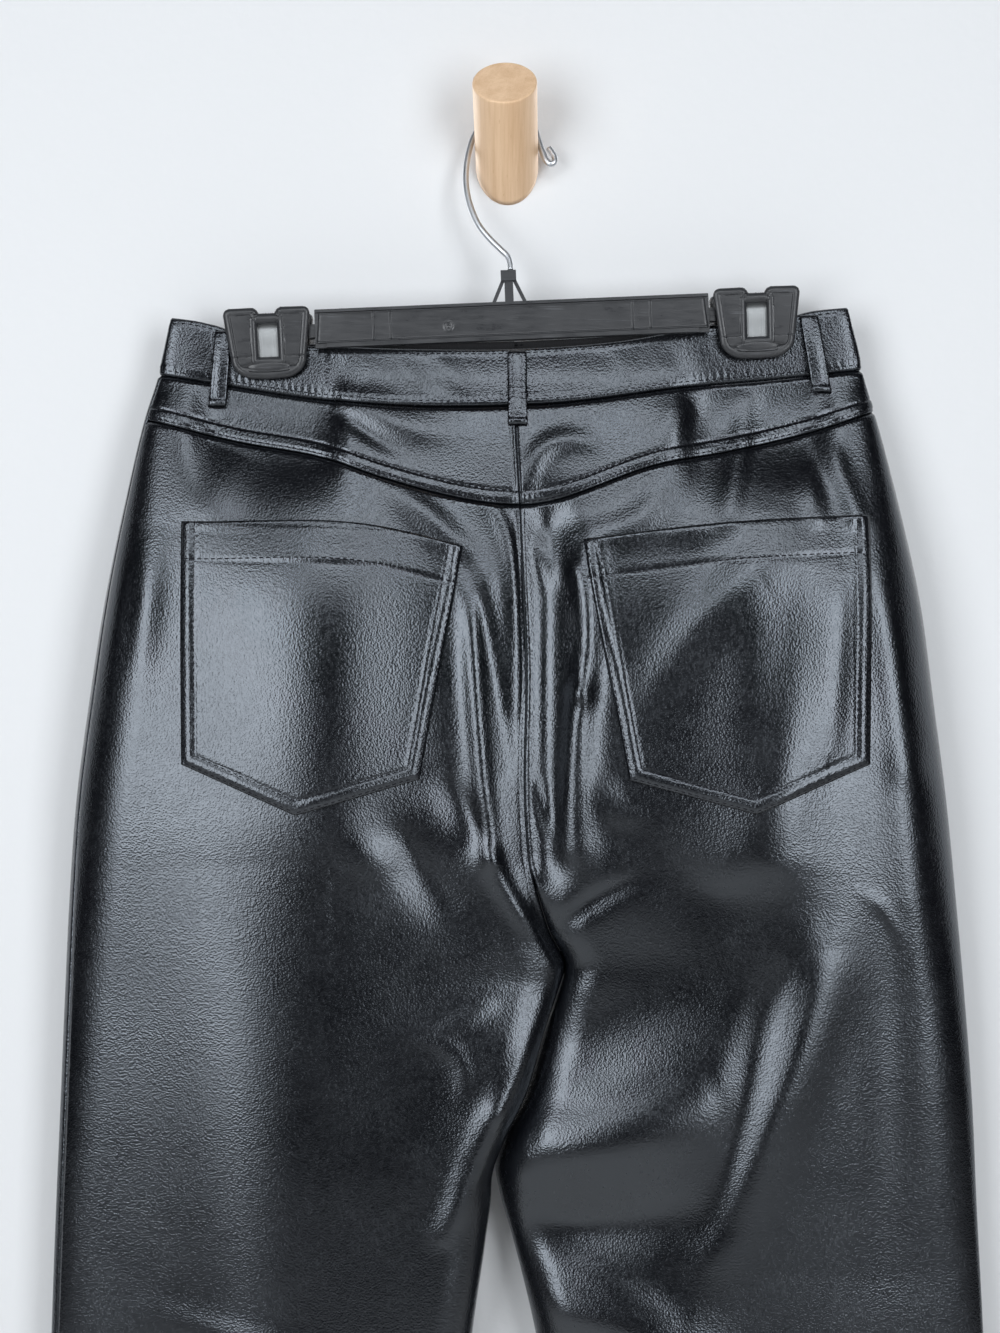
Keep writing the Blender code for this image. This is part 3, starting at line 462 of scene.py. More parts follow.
def broad_folds(rows, x, z):
    """The sum of straight ridges: a bell across each line, fading past its two ends."""
    total = np.zeros(np.broadcast(x, z).shape)
    for start_x, start_z, end_x, end_z, half_width, height in rows:
        length = math.hypot(end_x - start_x, end_z - start_z)
        ahead = ((end_x - start_x) / length, (end_z - start_z) / length)
        run = (x - start_x) * ahead[0] + (z - start_z) * ahead[1]
        off = (x - start_x) * ahead[1] - (z - start_z) * ahead[0]
        past = np.maximum(np.maximum(-run, run - length), 0)
        total = total + height * bell(off, half_width) * bell(past, 1.4 * half_width)
    return total


def crease(row, x, z):
    """One ridge along the parabola through three points: the nearest place on it is found by Newton's steps,
    and the height there fades with the distance as a bell, which may be wider on one side."""
    start, middle, end = np.array(row[0:2]), np.array(row[2:4]), np.array(row[4:6])
    bend = 2 * (start + end - 2 * middle)
    slope = end - start - bend
    lowest, highest = np.minimum(np.minimum(start, middle), end), np.maximum(np.maximum(start, middle), end)
    reach = 3.2 * max(row[6], row[7])
    height = np.zeros(np.broadcast(x, z).shape)
    x, z = np.broadcast_arrays(x, z)
    near = (x > lowest[0] - reach) & (x < highest[0] + reach)
    near &= (z > lowest[1] - reach) & (z < highest[1] + reach)
    if not near.any():
        return height
    point = np.stack([x[near], z[near]], -1)
    tries = np.linspace(0, 1, 9)
    places = start + slope * tries[:, None] + bend * tries[:, None] ** 2
    t = tries[np.argmin(((point[:, None] - places[None]) ** 2).sum(-1), 1)]
    for _ in range(4):
        gap = start + slope * t[:, None] + bend * t[:, None] ** 2 - point
        run = slope + 2 * bend * t[:, None]
        turn = (run * run).sum(-1) + (gap * 2 * bend).sum(-1)
        t = np.clip(t - (gap * run).sum(-1) / np.maximum(turn, 1e-6), 0, 1)
    gap = point - (start + slope * t[:, None] + bend * t[:, None] ** 2)
    chord = end - start
    across = np.array([-chord[1], chord[0]])
    if across[0] < -1e-6 or (abs(across[0]) <= 1e-6 and across[1] < 0):
        across = -across
    higher = (gap @ across) > 0
    wide = np.where(higher, row[7], row[6])
    first, mid, last = row[8:11]
    ridge = first * (1 - t) * (1 - 2 * t) + mid * 4 * t * (1 - t) + last * t * (2 * t - 1)
    height[near] = ridge * bell(np.linalg.norm(gap, axis=-1), wide)
    return height


def creases(rows, x, z):
    total = 0
    for row in rows:
        total = total + crease(row, x, z)
    return total * bpy.context.scene.trousers_leather.crease_depth


# ---- the cloth's tube


def pinch(x, z):
    """1 where a clip presses the two layers together, 0 away from it."""
    hold = 0
    for reach in (-CLIP_REACH, CLIP_REACH):
        hold = hold + np.exp(-(((x - HANGER_PLACE[0] - reach) / 38) ** 8))
    return hold * step(z, -196, -120)


def leaning(side, x, z):
    """How far the cloth of a thigh falls back past its bend: the soft ramp s log(1 + e^(d/s)) times the slope,
    where d is the distance past the line and s the softness."""
    total = 0
    for row_side, *points, slope, soft in LEANS_BACK:
        if row_side != side:
            continue
        line = along(-z, -np.array(points[1::2], float), np.array(points[0::2], float))
        past = (x - line) * side
        fade = step(-z, 190, 460)
        total = total + fade * slope * soft * np.logaddexp(0, past / soft)
    return total


def fullness(side, z, x):
    """The body's roundness that the cloth keeps: a broad bell over each half of the back, most at the seat."""
    height = SEAT_FULLNESS * step(-z, 150, 250)
    height = height * (1 - 0.45 * step(-z, 380, 620) if side == RIGHT else 1)
    return height * bell(x - SEAT_MIDDLE[side], 72.0)


def cloth_y(side, layer, x, z):
    """The y of the cloth's middle: the middle plane, less or plus the layer's depth, which rounds away at the
    edges and carries the folds."""
    from_outer = np.abs(outer_edge(side, z) - x)
    from_inner = np.abs(x - inner_edge(side, layer, z))
    closing = step(-z, 382, -CROTCH_HEIGHT)
    edges = rounded(from_outer, level("edge", z))
    edges = edges * (1 - closing + closing * rounded(from_inner, INNER_ROUND))
    apart = step(-z, 440, 482) * (1 - step(-z, 600, 800)) * bell(from_inner, 55)
    middle = level("middle", z) + apart * 7.5 * side
    pressed = pinch(x, z)
    broad, fine = (BROAD_BACK, CREASES_BACK) if layer == BACK else (BROAD_FRONT, CREASES_FRONT)
    name = "back" if layer == BACK else "front"
    depth = level(name, z) * (1 - pressed) + 1.1 * pressed
    if layer == BACK:
        depth = depth + fullness(side, z, x) - leaning(side, x, z)
    return middle - layer * edges * (depth + broad_folds(broad, x, z) + creases(fine, x, z))


def side_seam(side, layer, z):
    """How far the panel's side seam lies from the tube's outer edge, on the panel's own layer."""
    on_back = np.where(side == LEFT, 1.8 + 2.4 * step(-z, 140, 300), -3.0)
    return on_back * layer


def panel_grid(side, layer, top_rows, bottom_rows, shares, spacing):
    """Points x, y and z of a panel's middle, with rows from the top seam to the bottom one and columns from the
    side seam to the inner edge.

    The columns lie evenly along an arc: a quarter circle round the outer edge, straight across, and a quarter
    circle round the inner edge, so that both edges stay round.
    """
    shares = np.asarray(shares, float)[:, None]
    middle = -400.0
    widest = abs(inner_edge(side, layer, middle) - outer_edge(side, middle))
    count = int(round((widest + 30) / spacing)) + 1
    fraction = np.linspace(0, 1, count)[None, :]
    x = outer_edge(side, -200.0) + fraction * (inner_edge(side, layer, -200.0) - outer_edge(side, -200.0))
    x = x + 0 * shares
    for _ in range(7):
        high = seam_height(top_rows, x)
        low = HEM_HEIGHT if bottom_rows is None else seam_height(bottom_rows, x)
        z = high + (low - high) * shares
        first, last = level("edge", z), INNER_ROUND
        width = np.abs(inner_edge(side, layer, z) - outer_edge(side, z))
        quarter = math.pi / 2
        whole = width - first - last + quarter * (first + last)
        start = side_seam(side, layer, z)
        turn = np.arccos(1 - np.abs(start) / first) * first * np.sign(start)
        run = turn + (whole - turn) * fraction
        from_first = first * (1 - np.cos(np.clip(np.abs(run) / first, 0, quarter)))
        from_last = last * (1 - np.cos(np.clip((whole - run) / last, 0, quarter)))
        across = first + run - quarter * first
        distance = np.where(np.abs(run) < quarter * first, from_first, across)
        distance = np.where(whole - run < quarter * last, width - from_last, distance)
        other = run < 0
        x = outer_edge(side, z) - side * distance
    y = np.where(other, cloth_y(side, -layer, x, z), cloth_y(side, layer, x, z))
    return np.stack([x, y, z], -1), other


def grid_normals(grid, toward):
    """Unit normals at the grid's points: across the two directions of the grid, turned to a side of y."""
    down, right = np.gradient(grid, axis=0), np.gradient(grid, axis=1)
    normal = np.cross(down, right)
    normal /= np.maximum(np.linalg.norm(normal, axis=-1, keepdims=True), 1e-12)
    middle = normal[normal.shape[0] // 2, normal.shape[1] // 2]
    return -normal if middle[1] * toward < 0 else normal


def on_back(x, z):
    """The y of the back's middle at x and z, on either leg."""
    return on_layer(BACK, x, z)


def on_layer(layer, x, z):
    x, z = np.broadcast_arrays(np.asarray(x, float), np.asarray(z, float))
    is_left = x < inner_edge(LEFT, layer, z)
    return np.where(is_left, cloth_y(LEFT, layer, x, z), cloth_y(RIGHT, layer, x, z))


# ---- seams: what rolls in at an edge, the groove under a stitch line and the puckers that it pulls


def rolled(distance, depth, half_width):
    """A soft drop at a seamed edge, as a height below 0."""
    return -depth * bell(distance, half_width)


def stitched(distance, at, depth=0.42, half_width=0.9):
    """The groove of a stitch line that runs at a distance from the edge."""
    return -depth * bell(distance - at, half_width)


def puckers(run, distance, middle, reach, pitch, height, seed):
    """Small ripples across a seam, one for each stitch, uneven in height."""
    uneven = 0.55 + 0.6 * waver(run / 17.0, seed) + 0.35 * waver(run / 5.1, seed + 2.0)
    wave = np.sin(2 * math.pi * run / pitch + 0.9 * waver(run / 9.0, seed + 4.0))
    return height * np.clip(uneven, 0.05, 1.6) * wave * bell(distance - middle, reach)


def band_relief(x, z, layer):
    """The waistband's edges: rolled at the top and at the waist seam, each with a stitch line beside it."""
    top = TOP_EDGE if layer == BACK else FRONT_TOP_EDGE
    above = z - seam_height(WAIST_SEAM, x)
    below = seam_height(top, x) - z
    relief = rolled(above, 1.3, 1.1) + stitched(above, 2.6) + rolled(below, 0.9, 1.0) + stitched(below, 2.4, 0.3)
    relief = relief + puckers(x, above, 4.7, 1.9, 3.6, 0.32, 1.0) + puckers(x, below, 4.6, 1.8, 4.1, 0.08, 3.0)
    loose = step(above, 3.0, 12.0) * step(below, 2.0, 9.0)
    slack = bell(x + 42, 46) + 0.5 * bell(x - 75, 35)
    return relief + loose * slack * (0.5 * waver(x / 14.0 + z / 30.0, 5.0) + 0.12 * waver(x / 5.0 + z / 9.0, 6.0))


def yoke_relief(x, z, side, layer=BACK):
    """The yoke: tucked in at the waist, lapped over the leg with two stitch lines and a puffed strip between."""
    below = seam_height(WAIST_SEAM, x) - z
    above = z - seam_height(YOKE_SEAM, x)
    inner = np.abs(x - inner_edge(side, layer, z))
    strip = step(above, 1.6, 3.0) * (1 - step(above, 6.0, 7.4))
    relief = rolled(below, 1.6, 1.5) + rolled(above, 0.9, 0.7) + stitched(above, 1.6, 0.36, 0.7)
    relief = relief + stitched(above, 7.3, 0.32, 0.8) + 0.22 * strip
    relief = relief + puckers(x, above, 4.3, 2.4, 2.9, 0.16, 7.0 + side)
    return relief + seat_relief(inner, side)


def seat_relief(inner, side):
    """Along the seat seam: rolled in, and on the left a narrow cord held by the seam's own stitches."""
    relief = rolled(inner, 0.9, 0.7)
    return relief + (0.45 * bell(inner - 1.5, 0.8) - 0.3 * bell(inner - 3.1, 0.7) if side == LEFT else 0)


def leg_relief(x, z, side, layer):
    """A leg panel: tucked in at its top seam, along the seat or front seam, and turned up at the hem."""
    rows = YOKE_SEAM if layer == BACK else WAIST_SEAM
    below = seam_height(rows, x) - z
    inner = np.abs(x - inner_edge(side, layer, z))
    relief = rolled(below, 1.5, 1.3) + seat_relief(inner, side) * (1 - step(-z, 425, 440))
    relief = relief + rolled(inner, 0.7, 0.9) * step(-z, 430, 445)
    relief = relief + puckers(x, below, 3.0, 2.2, 3.1, 0.10, 11.0 + side)
    from_hem = z - HEM_HEIGHT
    relief = relief + stitched(from_hem, 25.0, 0.5, 1.6) + 0.5 * (1 - step(from_hem, 23.0, 25.5))
    return relief + puckers(x, from_hem, 24.0, 5.0, 4.2, 0.14, 13.0)


# ---- meshes, materials and pieces


def grid_mesh(name, grid):
    """An open surface of quads on a grid of points in millimetres."""
    rows, columns = grid.shape[:2]
    first = (np.arange(rows - 1)[:, None] * columns + np.arange(columns - 1)[None, :]).ravel()
    quads = np.stack([first, first + columns, first + columns + 1, first + 1], -1)
    return face_mesh(name, grid.reshape(-1, 3), quads)


def face_mesh(name, points, faces):
    """A mesh of faces with the same number of corners, from points in millimetres."""
    mesh = bpy.data.meshes.new(name)
    mesh.vertices.add(len(points))
    mesh.vertices.foreach_set("co", (np.asarray(points) * MM).astype(np.float32).ravel())
    corners = faces.shape[1]
    mesh.loops.add(faces.size)
    mesh.loops.foreach_set("vertex_index", faces.astype(np.int32).ravel())
    mesh.polygons.add(len(faces))
    mesh.polygons.foreach_set("loop_start", np.arange(len(faces), dtype=np.int32) * corners)
    mesh.polygons.foreach_set("use_smooth", np.ones(len(faces), bool))
    mesh.update(calc_edges=True)
    mesh.validate()
    return mesh


def add_piece(name, mesh, finishes, slot_name, *nodes):
    """An object at the origin that rides on the body, stands for CAD nodes and has its finishes."""
    made = bpy.data.objects.new(name, mesh)
    bpy.context.scene.collection.objects.link(made)
    for finish in finishes:
        mesh.materials.append(finish)
    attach(made, BODY)
    if nodes:
        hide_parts(*nodes)
    return made


def give_wall(made, wall, inner_finish=0):
    """A wall of that thickness (in metres) behind the piece's outer face."""
    solid = made.modifiers.new("wall", "SOLIDIFY")
    solid.thickness = wall
    solid.offset = -1.0
    solid.use_even_offset = False
    solid.material_offset = inner_finish
    return solid


def faced_out(grid, side, layer):
    """The grid with its columns in the order that turns its faces away from the wearer."""
    return grid if side * layer == LEFT else grid[:, ::-1]


def declare_sheet(made):
    """Hands the piece back as it is."""
    return made


class Nodes:
    """Short ways to add nodes to a material and to join them."""

    def __init__(self, name):
        self.made = bpy.data.materials.new(name)
        self.made.use_nodes = True
        self.tree = self.made.node_tree
        self.shader = self.tree.nodes["Principled BSDF"]

    def add(self, kind, **values):
        node = self.tree.nodes.new(kind)
        for key, value in values.items():
            if hasattr(node, key):
                setattr(node, key, value)
            else:
                node.inputs[key.replace("_", " ").title()].default_value = value
        return node

    def join(self, source, target):
        self.tree.links.new(source, target)
        return target.node

    def place(self, scale=(1, 1, 1), turn=(0, 0, 0), kind="POINT"):
        """Object coordinates, scaled and turned; kind TEXTURE turns back first, then divides by the scale."""
        where = self.add("ShaderNodeTexCoord")
        mapping = self.add("ShaderNodeMapping", vector_type=kind)
        mapping.inputs["Scale"].default_value = scale
        mapping.inputs["Rotation"].default_value = turn
        self.join(where.outputs["Object"], mapping.inputs["Vector"])
        return mapping.outputs["Vector"]

    def noise(self, where, scale, detail=2.0, rough=0.5, distortion=0.0):
        node = self.add("ShaderNodeTexNoise", scale=scale, detail=detail, roughness=rough, distortion=distortion)
        self.join(where, node.inputs["Vector"])
        return node.outputs["Fac"]

    def cells(self, where, scale, feature="F1", smooth=None):
        node = self.add("ShaderNodeTexVoronoi", feature=feature)
        node.inputs["Scale"].default_value = scale
        if smooth is not None:
            node.inputs["Smoothness"].default_value = smooth
        self.join(where, node.inputs["Vector"])
        return node.outputs["Distance"]

    def spread(self, value, low, high, to_low, to_high):
        """The value from low to high, moved to between to_low and to_high."""
        node = self.add("ShaderNodeMapRange")
        for key, number in (("From Min", low), ("From Max", high), ("To Min", to_low), ("To Max", to_high)):
            node.inputs[key].default_value = number
        self.join(value, node.inputs["Value"])
        return node.outputs["Result"]

    def blend(self, value, first, second):
        """A colour between two, by the value."""
        node = self.add("ShaderNodeMix", data_type="RGBA")
        node.inputs["A"].default_value
        node.inputs[6].default_value = (*first, 1.0)
        node.inputs[7].default_value = (*second, 1.0)
        self.join(value, node.inputs[0])
        return node.outputs[2]

    def maths(self, operation, first, second):
        node = self.add("ShaderNodeMath", operation=operation)
        for socket, value in zip(node.inputs, (first, second)):
            if isinstance(value, (int, float)):
                socket.default_value = value
            else:
                self.join(value, socket)
        return node.outputs[0]

    def bump(self, height, strength, distance, under=None):
        node = self.add("ShaderNodeBump")
        node.inputs["Strength"].default_value = strength
        node.inputs["Distance"].default_value = distance
        self.join(height, node.inputs["Height"])
        if under is not None:
            self.join(under, node.inputs["Normal"])
        return node.outputs["Normal"]

    def surface(self, **sockets):
        """Each socket of the shader gets a number or a colour of its own, or what is joined to it."""
        for key, value in sockets.items():
            socket = self.shader.inputs[key.replace("_", " ")]
            if isinstance(value, bpy.types.NodeSocket):
                self.join(value, socket)
            elif isinstance(value, (tuple, list)):
                socket.default_value = (*value, 1.0)
            else:
                socket.default_value = value
        return self.made


FINISHES = {}


def finish(name):
    """The named material, made the first time that it is asked for."""
    if name not in FINISHES:
        FINISHES[name] = MAKERS[name]()
    return FINISHES[name]


def make_leather():
    """Coated cloth: pebbled grain in two sizes, fine flow lines and soft differences of gloss."""
    values = bpy.context.scene.trousers_leather
    nodes = Nodes("black_faux_leather")
    where = nodes.place()
    grains = nodes.cells(where, 1.0 / values.grain, "SMOOTH_F1", 0.5)
    small = nodes.noise(where, 2100.0, 2.0, 0.6)
    pores = nodes.noise(nodes.place((1, 1, 0.55), (0, math.radians(35), 0)), 640.0, 3.0, 0.62, 0.3)
    patches = nodes.noise(where, 26.0, 4.0, 0.6)
    cloudy = nodes.noise(where, 9.0, 3.0, 0.5)
    normal = nodes.bump(pores, 0.13, 0.0006)
    normal = nodes.bump(grains, 0.20, 0.0006, normal)
    normal = nodes.bump(small, 0.12, 0.00025, normal)
    rough = nodes.maths("ADD", nodes.spread(patches, 0.3, 0.7, -0.035, 0.045), values.roughness)
    rough = nodes.maths("ADD", nodes.spread(pores, 0.35, 0.65, -0.03, 0.05), rough)
    colour = nodes.blend(nodes.spread(cloudy, 0.35, 0.68, 0.0, 1.0), values.colour[:], values.worn_colour[:])
    return nodes.surface(Base_Color=colour, Roughness=rough, Normal=normal, IOR=1.5, Specular_IOR_Level=1.0, Specular_Tint=(0.84, 0.91, 1.0))


def make_backing():
    """The knitted backing inside the cloth: small loops in rows."""
    values = bpy.context.scene.trousers_leather
    nodes = Nodes("knitted_backing")
    loops = nodes.add("ShaderNodeTexWave", wave_type="BANDS", bands_direction="X", scale=260.0, distortion=3.0)
    nodes.join(nodes.place(), loops.inputs["Vector"])
    tone = nodes.noise(nodes.place(), 90.0, 3.0)
    colour = nodes.blend(tone, values.lining_colour[:], tuple(1.7 * part for part in values.lining_colour))
    normal = nodes.bump(loops.outputs["Fac"], 0.3, 0.0004)
    return nodes.surface(Base_Color=colour, Roughness=0.85, Normal=normal)


def make_thread():
    """Twisted polyester thread."""
    nodes = Nodes("black_thread")
    twist = nodes.noise(nodes.place((1, 1, 1)), 2600.0, 2.0)
    colour = bpy.context.scene.trousers_stitch.colour[:]
    tone = nodes.blend(twist, colour, tuple(2.2 * part for part in colour))
    return nodes.surface(Base_Color=tone, Roughness=0.7, Normal=nodes.bump(twist, 0.4, 0.0002), Specular_IOR_Level=0.12)


def make_plastic():
    """Satin moulded plastic with hazy patches and fine scratches."""
    nodes = Nodes("black_plastic")
    where = nodes.place()
    haze = nodes.noise(where, 60.0, 5.0, 0.65)
    streaks = nodes.noise(nodes.place((0.25, 1, 2.2), (0, math.radians(24), 0)), 260.0, 4.0, 0.7)
    scratches = nodes.noise(nodes.place((0.08, 1, 3.0), (0, math.radians(-30), 0)), 500.0, 2.0, 0.6)
    fine = nodes.noise(where, 1500.0, 2.0)
    rough = nodes.maths("ADD", nodes.spread(haze, 0.3, 0.7, 0.27, 0.42), nodes.spread(streaks, 0.4, 0.7, -0.04, 0.1))
    base = bpy.context.scene.trousers_hanger.plastic[:]
    scuffed = nodes.maths("MULTIPLY", nodes.spread(scratches, 0.6, 0.74, 0.0, 1.0), nodes.spread(haze, 0.45, 0.6, 0.0, 1.0))
    colour = nodes.blend(scuffed, base, tuple(part * 3.2 for part in base))
    normal = nodes.bump(fine, 0.06, 0.0003, nodes.bump(scratches, 0.05, 0.0003))
    return nodes.surface(Base_Color=colour, Roughness=rough, Normal=normal)


def make_button():
    """Polished resin with a faint mottle."""
    nodes = Nodes("button_plastic")
    mottle = nodes.noise(nodes.place(), 300.0, 3.0)
    colour = nodes.blend(mottle, (0.012, 0.012, 0.013), (0.03, 0.029, 0.029))
    return nodes.surface(Base_Color=colour, Roughness=nodes.spread(mottle, 0.3, 0.7, 0.18, 0.3))


def make_steel():
    """Bright rolled spring steel with a fine grain along its length."""
    nodes = Nodes("spring_steel")
    grain = nodes.noise(nodes.place((1, 1, 0.06)), 1800.0, 3.0)
    base = bpy.context.scene.trousers_hanger.steel[:]
    colour = nodes.blend(nodes.noise(nodes.place(), 220.0, 3.0), base, tuple(part * 0.82 for part in base))
    rough = nodes.spread(grain, 0.3, 0.7, 0.40, 0.52)
    return nodes.surface(Base_Color=colour, Roughness=rough, Metallic=0.65, Normal=nodes.bump(grain, 0.04, 0.0002))


def make_wire():
    """Zinc-plated wire, slightly cloudy."""
    nodes = Nodes("zinc_wire")
    cloud = nodes.noise(nodes.place(), 160.0, 3.0, 0.5)
    base = bpy.context.scene.trousers_hanger.wire[:]
    colour = nodes.blend(cloud, base, tuple(part * 0.84 for part in base))
    return nodes.surface(Base_Color=colour, Roughness=nodes.spread(cloud, 0.3, 0.7, 0.36, 0.46), Metallic=1.0)


def make_wood():
    """Pale beech: long fibres along the peg with short darker flecks."""
    nodes = Nodes("beech")
    lean = (math.pi / 2 - PEG_RISE, 0, 0)
    fibre = nodes.noise(nodes.place((1, 1, 30), lean, "TEXTURE"), 1100.0, 4.0, 0.6)
    bands = nodes.noise(nodes.place((1, 1, 16), lean, "TEXTURE"), 170.0, 3.0, 0.5, 0.2)
    flecks = nodes.noise(nodes.place((1, 1, 7), lean, "TEXTURE"), 1500.0, 1.0, 0.5)
    values = bpy.context.scene.trousers_hanger
    grain = nodes.maths("ADD", nodes.spread(bands, 0.35, 0.7, 0.0, 0.6), nodes.spread(fibre, 0.45, 0.75, 0.0, 0.4))
    grain = nodes.maths("ADD", grain, nodes.spread(flecks, 0.68, 0.78, 0.0, 0.5))
    colour = nodes.blend(grain, values.wood[:], values.wood_dark[:])
    normal = nodes.bump(fibre, 0.12, 0.0004)
    return nodes.surface(Base_Color=colour, Roughness=nodes.spread(bands, 0.3, 0.7, 0.5, 0.62), Normal=normal)


def make_wall():
    """Rolled wall paint with a soft orange peel. The wall shows from its front only, so that it hides nothing
    from behind."""
    nodes = Nodes("painted_wall")
    peel = nodes.noise(nodes.place(), 150.0, 3.0, 0.5)
    normal = nodes.bump(peel, 0.16, 0.0016)
    nodes.surface(Base_Color=bpy.context.scene.trousers_stage.wall[:], Roughness=0.6, Normal=normal)
    clear = nodes.add("ShaderNodeBsdfTransparent")
    either = nodes.add("ShaderNodeMixShader")
    facing = nodes.add("ShaderNodeNewGeometry")
    nodes.join(facing.outputs["Backfacing"], either.inputs[0])
    nodes.join(nodes.shader.outputs[0], either.inputs[1])
    nodes.join(clear.outputs[0], either.inputs[2])
    nodes.join(either.outputs[0], nodes.tree.nodes["Material Output"].inputs["Surface"])
    return nodes.made


def make_floor():
    nodes = Nodes("pale_floor")
    tone = nodes.noise(nodes.place(), 5.0, 3.0)
    base = bpy.context.scene.trousers_stage.floor[:]
    return nodes.surface(Base_Color=nodes.blend(tone, base, tuple(part * 0.96 for part in base)), Roughness=0.65)


MAKERS = {
    "leather": make_leather, "backing": make_backing, "thread": make_thread, "plastic": make_plastic,
    "button": make_button, "steel": make_steel, "wire": make_wire, "wood": make_wood, "wall": make_wall,
    "floor": make_floor,
}


# ---- cloth pieces


def leather_piece(name, grid, side, layer, wall, nodes):
    """A sheet of the cloth, with its outer face on the grid and its wall behind it."""
    made = add_piece(
        name, grid_mesh(name, faced_out(grid, side, layer)), [finish("leather"), finish("backing")],
        "black_faux_leather", *nodes,
    )
    give_wall(made, wall, 1)
    return made


def outer_face(grid, relief, wall, layer, other):
    """The grid moved out by half the wall and by the relief, along its own normals."""
    normal = grid_normals(grid, -layer)
    return grid + normal * (wall / MM / 2 + relief)[..., None]


def leg_shares(top, fine):
    """Rows of a leg panel: close together under the top seam, fine to the knee, wider to the hem."""
    heights = np.concatenate([
        top - np.arange(0, 9, 0.9), np.arange(top - 9.6, -660, -fine), np.arange(-664, HEM_HEIGHT + 30, -7.5),
        HEM_HEIGHT + np.array([29, 27, 26, 25, 24, 23, 21, 17, 12, 7, 3, 0]),
    ])
    return (heights - heights[0]) / (heights[-1] - heights[0])


def add_leg(side, word, layer):
    values = bpy.context.scene.trousers_leather
    face = "back" if layer == BACK else "front"
    top, start = (YOKE_SEAM, -189.8) if layer == BACK else (WAIST_SEAM, -135.6)
    spacing, fine = (2.5, 2.6) if layer == BACK else (3.8, 4.4)
    grid, other = panel_grid(side, layer, top, None, leg_shares(start, fine), spacing)
    relief = leg_relief(grid[..., 0], grid[..., 2], side, layer)
    outside = outer_face(grid, relief, values.cloth_wall, layer, other)
    made = leather_piece(f"{face}_panel_{word}", outside, side, layer, values.cloth_wall, [f"{face}_{word}"])
    declare_sheet(made)
    return made


def add_yoke(side, word):
    values = bpy.context.scene.trousers_leather
    shares = np.concatenate([np.linspace(0, 0.75, 34), np.linspace(0.76, 1, 18)])
    grid, other = panel_grid(side, BACK, WAIST_SEAM, YOKE_SEAM, shares, 1.4)
    relief = yoke_relief(grid[..., 0], grid[..., 2], side)
    outside = outer_face(grid, relief, values.cloth_wall, BACK, other)
    made = leather_piece(f"yoke_{word}_cloth", outside, side, BACK, values.cloth_wall, [f"yoke_{word}"])
    declare_sheet(made)
    return made


def band_grid(side, layer, spacing=1.6):
    top = TOP_EDGE if layer == BACK else FRONT_TOP_EDGE
    shares = np.linspace(0, 1, 30)
    grid, other = panel_grid(side, layer, top, WAIST_SEAM, shares, spacing)
    relief = band_relief(grid[..., 0], grid[..., 2], layer)
    outside = outer_face(grid, relief, bpy.context.scene.trousers_leather.band_wall, layer, other)
    return outside


def add_waistband():
    """One strip from the centre front round the left side, the back and the right side, lapped past its start."""
    wall = bpy.context.scene.trousers_leather.band_wall
    lift = wall / MM + SEAM_GAP
    start = band_grid(LEFT, FRONT)[:, ::-1]
    end = band_grid(RIGHT, FRONT)
    past = np.linspace(0, BAND_LAP, 26)[1:]
    x = end[:, -1:, 0] - past[None, :]
    z = end[:, -1:, 2] + 0 * x
    y = cloth_y(LEFT, FRONT, x, z) + wall / MM / 2 + band_relief(x, z, FRONT) + lift
    lapped = np.stack([x, y, z], -1)
    rise = bell(end[:, :, 0] - end[:, -1:, 0], 9.0) * lift
    end = end + rise[..., None] * np.array([0, 1, 0])
    grid = np.concatenate([
        start[:, :-1], band_grid(LEFT, BACK)[:, :-1], band_grid(RIGHT, BACK)[:, ::-1][:, :-1], end, lapped,
    ], 1)
    made = leather_piece("waistband_cloth", grid, LEFT, BACK, wall, ["waistband"])
    declare_sheet(made)
    return made


def pocket_grid(outline, spacing=1.25):
    """x and z on a pocket: straight from the mouth down to the pointed bottom, and its two fractions."""
    mouth, bottom = np.array(outline["mouth"]), np.array(outline["bottom"])
    wide, tall = bottom[2, 0] - bottom[0, 0], mouth[0, 1] - bottom[1, 1]
    across = np.linspace(0, 1, int(wide / spacing) + 8)
    down = np.linspace(0, 1, int(tall / spacing))[:, None]
    bend = (mouth[1, 0] - mouth[0, 0]) / (mouth[2, 0] - mouth[0, 0])
    point = (bottom[1, 0] - bottom[0, 0]) / (bottom[2, 0] - bottom[0, 0])
    top_x = np.interp(across, (0, bend, 1), mouth[:, 0])
    top_z = along(across, (0, bend, 1), mouth[:, 1])
    low_x = np.interp(across, (0, point, 1), bottom[:, 0])
    low_z = np.interp(across, (0, point, 1), bottom[:, 1])
    x = top_x + (low_x - top_x) * down
    z = top_z + (low_z - top_z) * down
    return x, z


def line_distance(x, z, start, end):
    """How far a point lies from the line through two points, on the left of the way from start to end."""
    run = np.array(end, float) - np.array(start, float)
    run /= np.linalg.norm(run)
    return (x - start[0]) * -run[1] + (z - start[1]) * run[0]


def pocket_edges(outline, x, z):
    """The distance from the two sides and the two halves of the bottom, and from the mouth."""
    mouth, bottom = outline["mouth"], outline["bottom"]
    path = (mouth[0], bottom[0], bottom[1], bottom[2], mouth[2])
    around = [line_distance(x, z, first, second) for first, second in zip(path, path[1:])]
    from_mouth = np.minimum(
        -line_distance(x, z, mouth[0], mouth[1]), -line_distance(x, z, mouth[1], mouth[2])
    )
    return np.min(around, axis=0), from_mouth, around


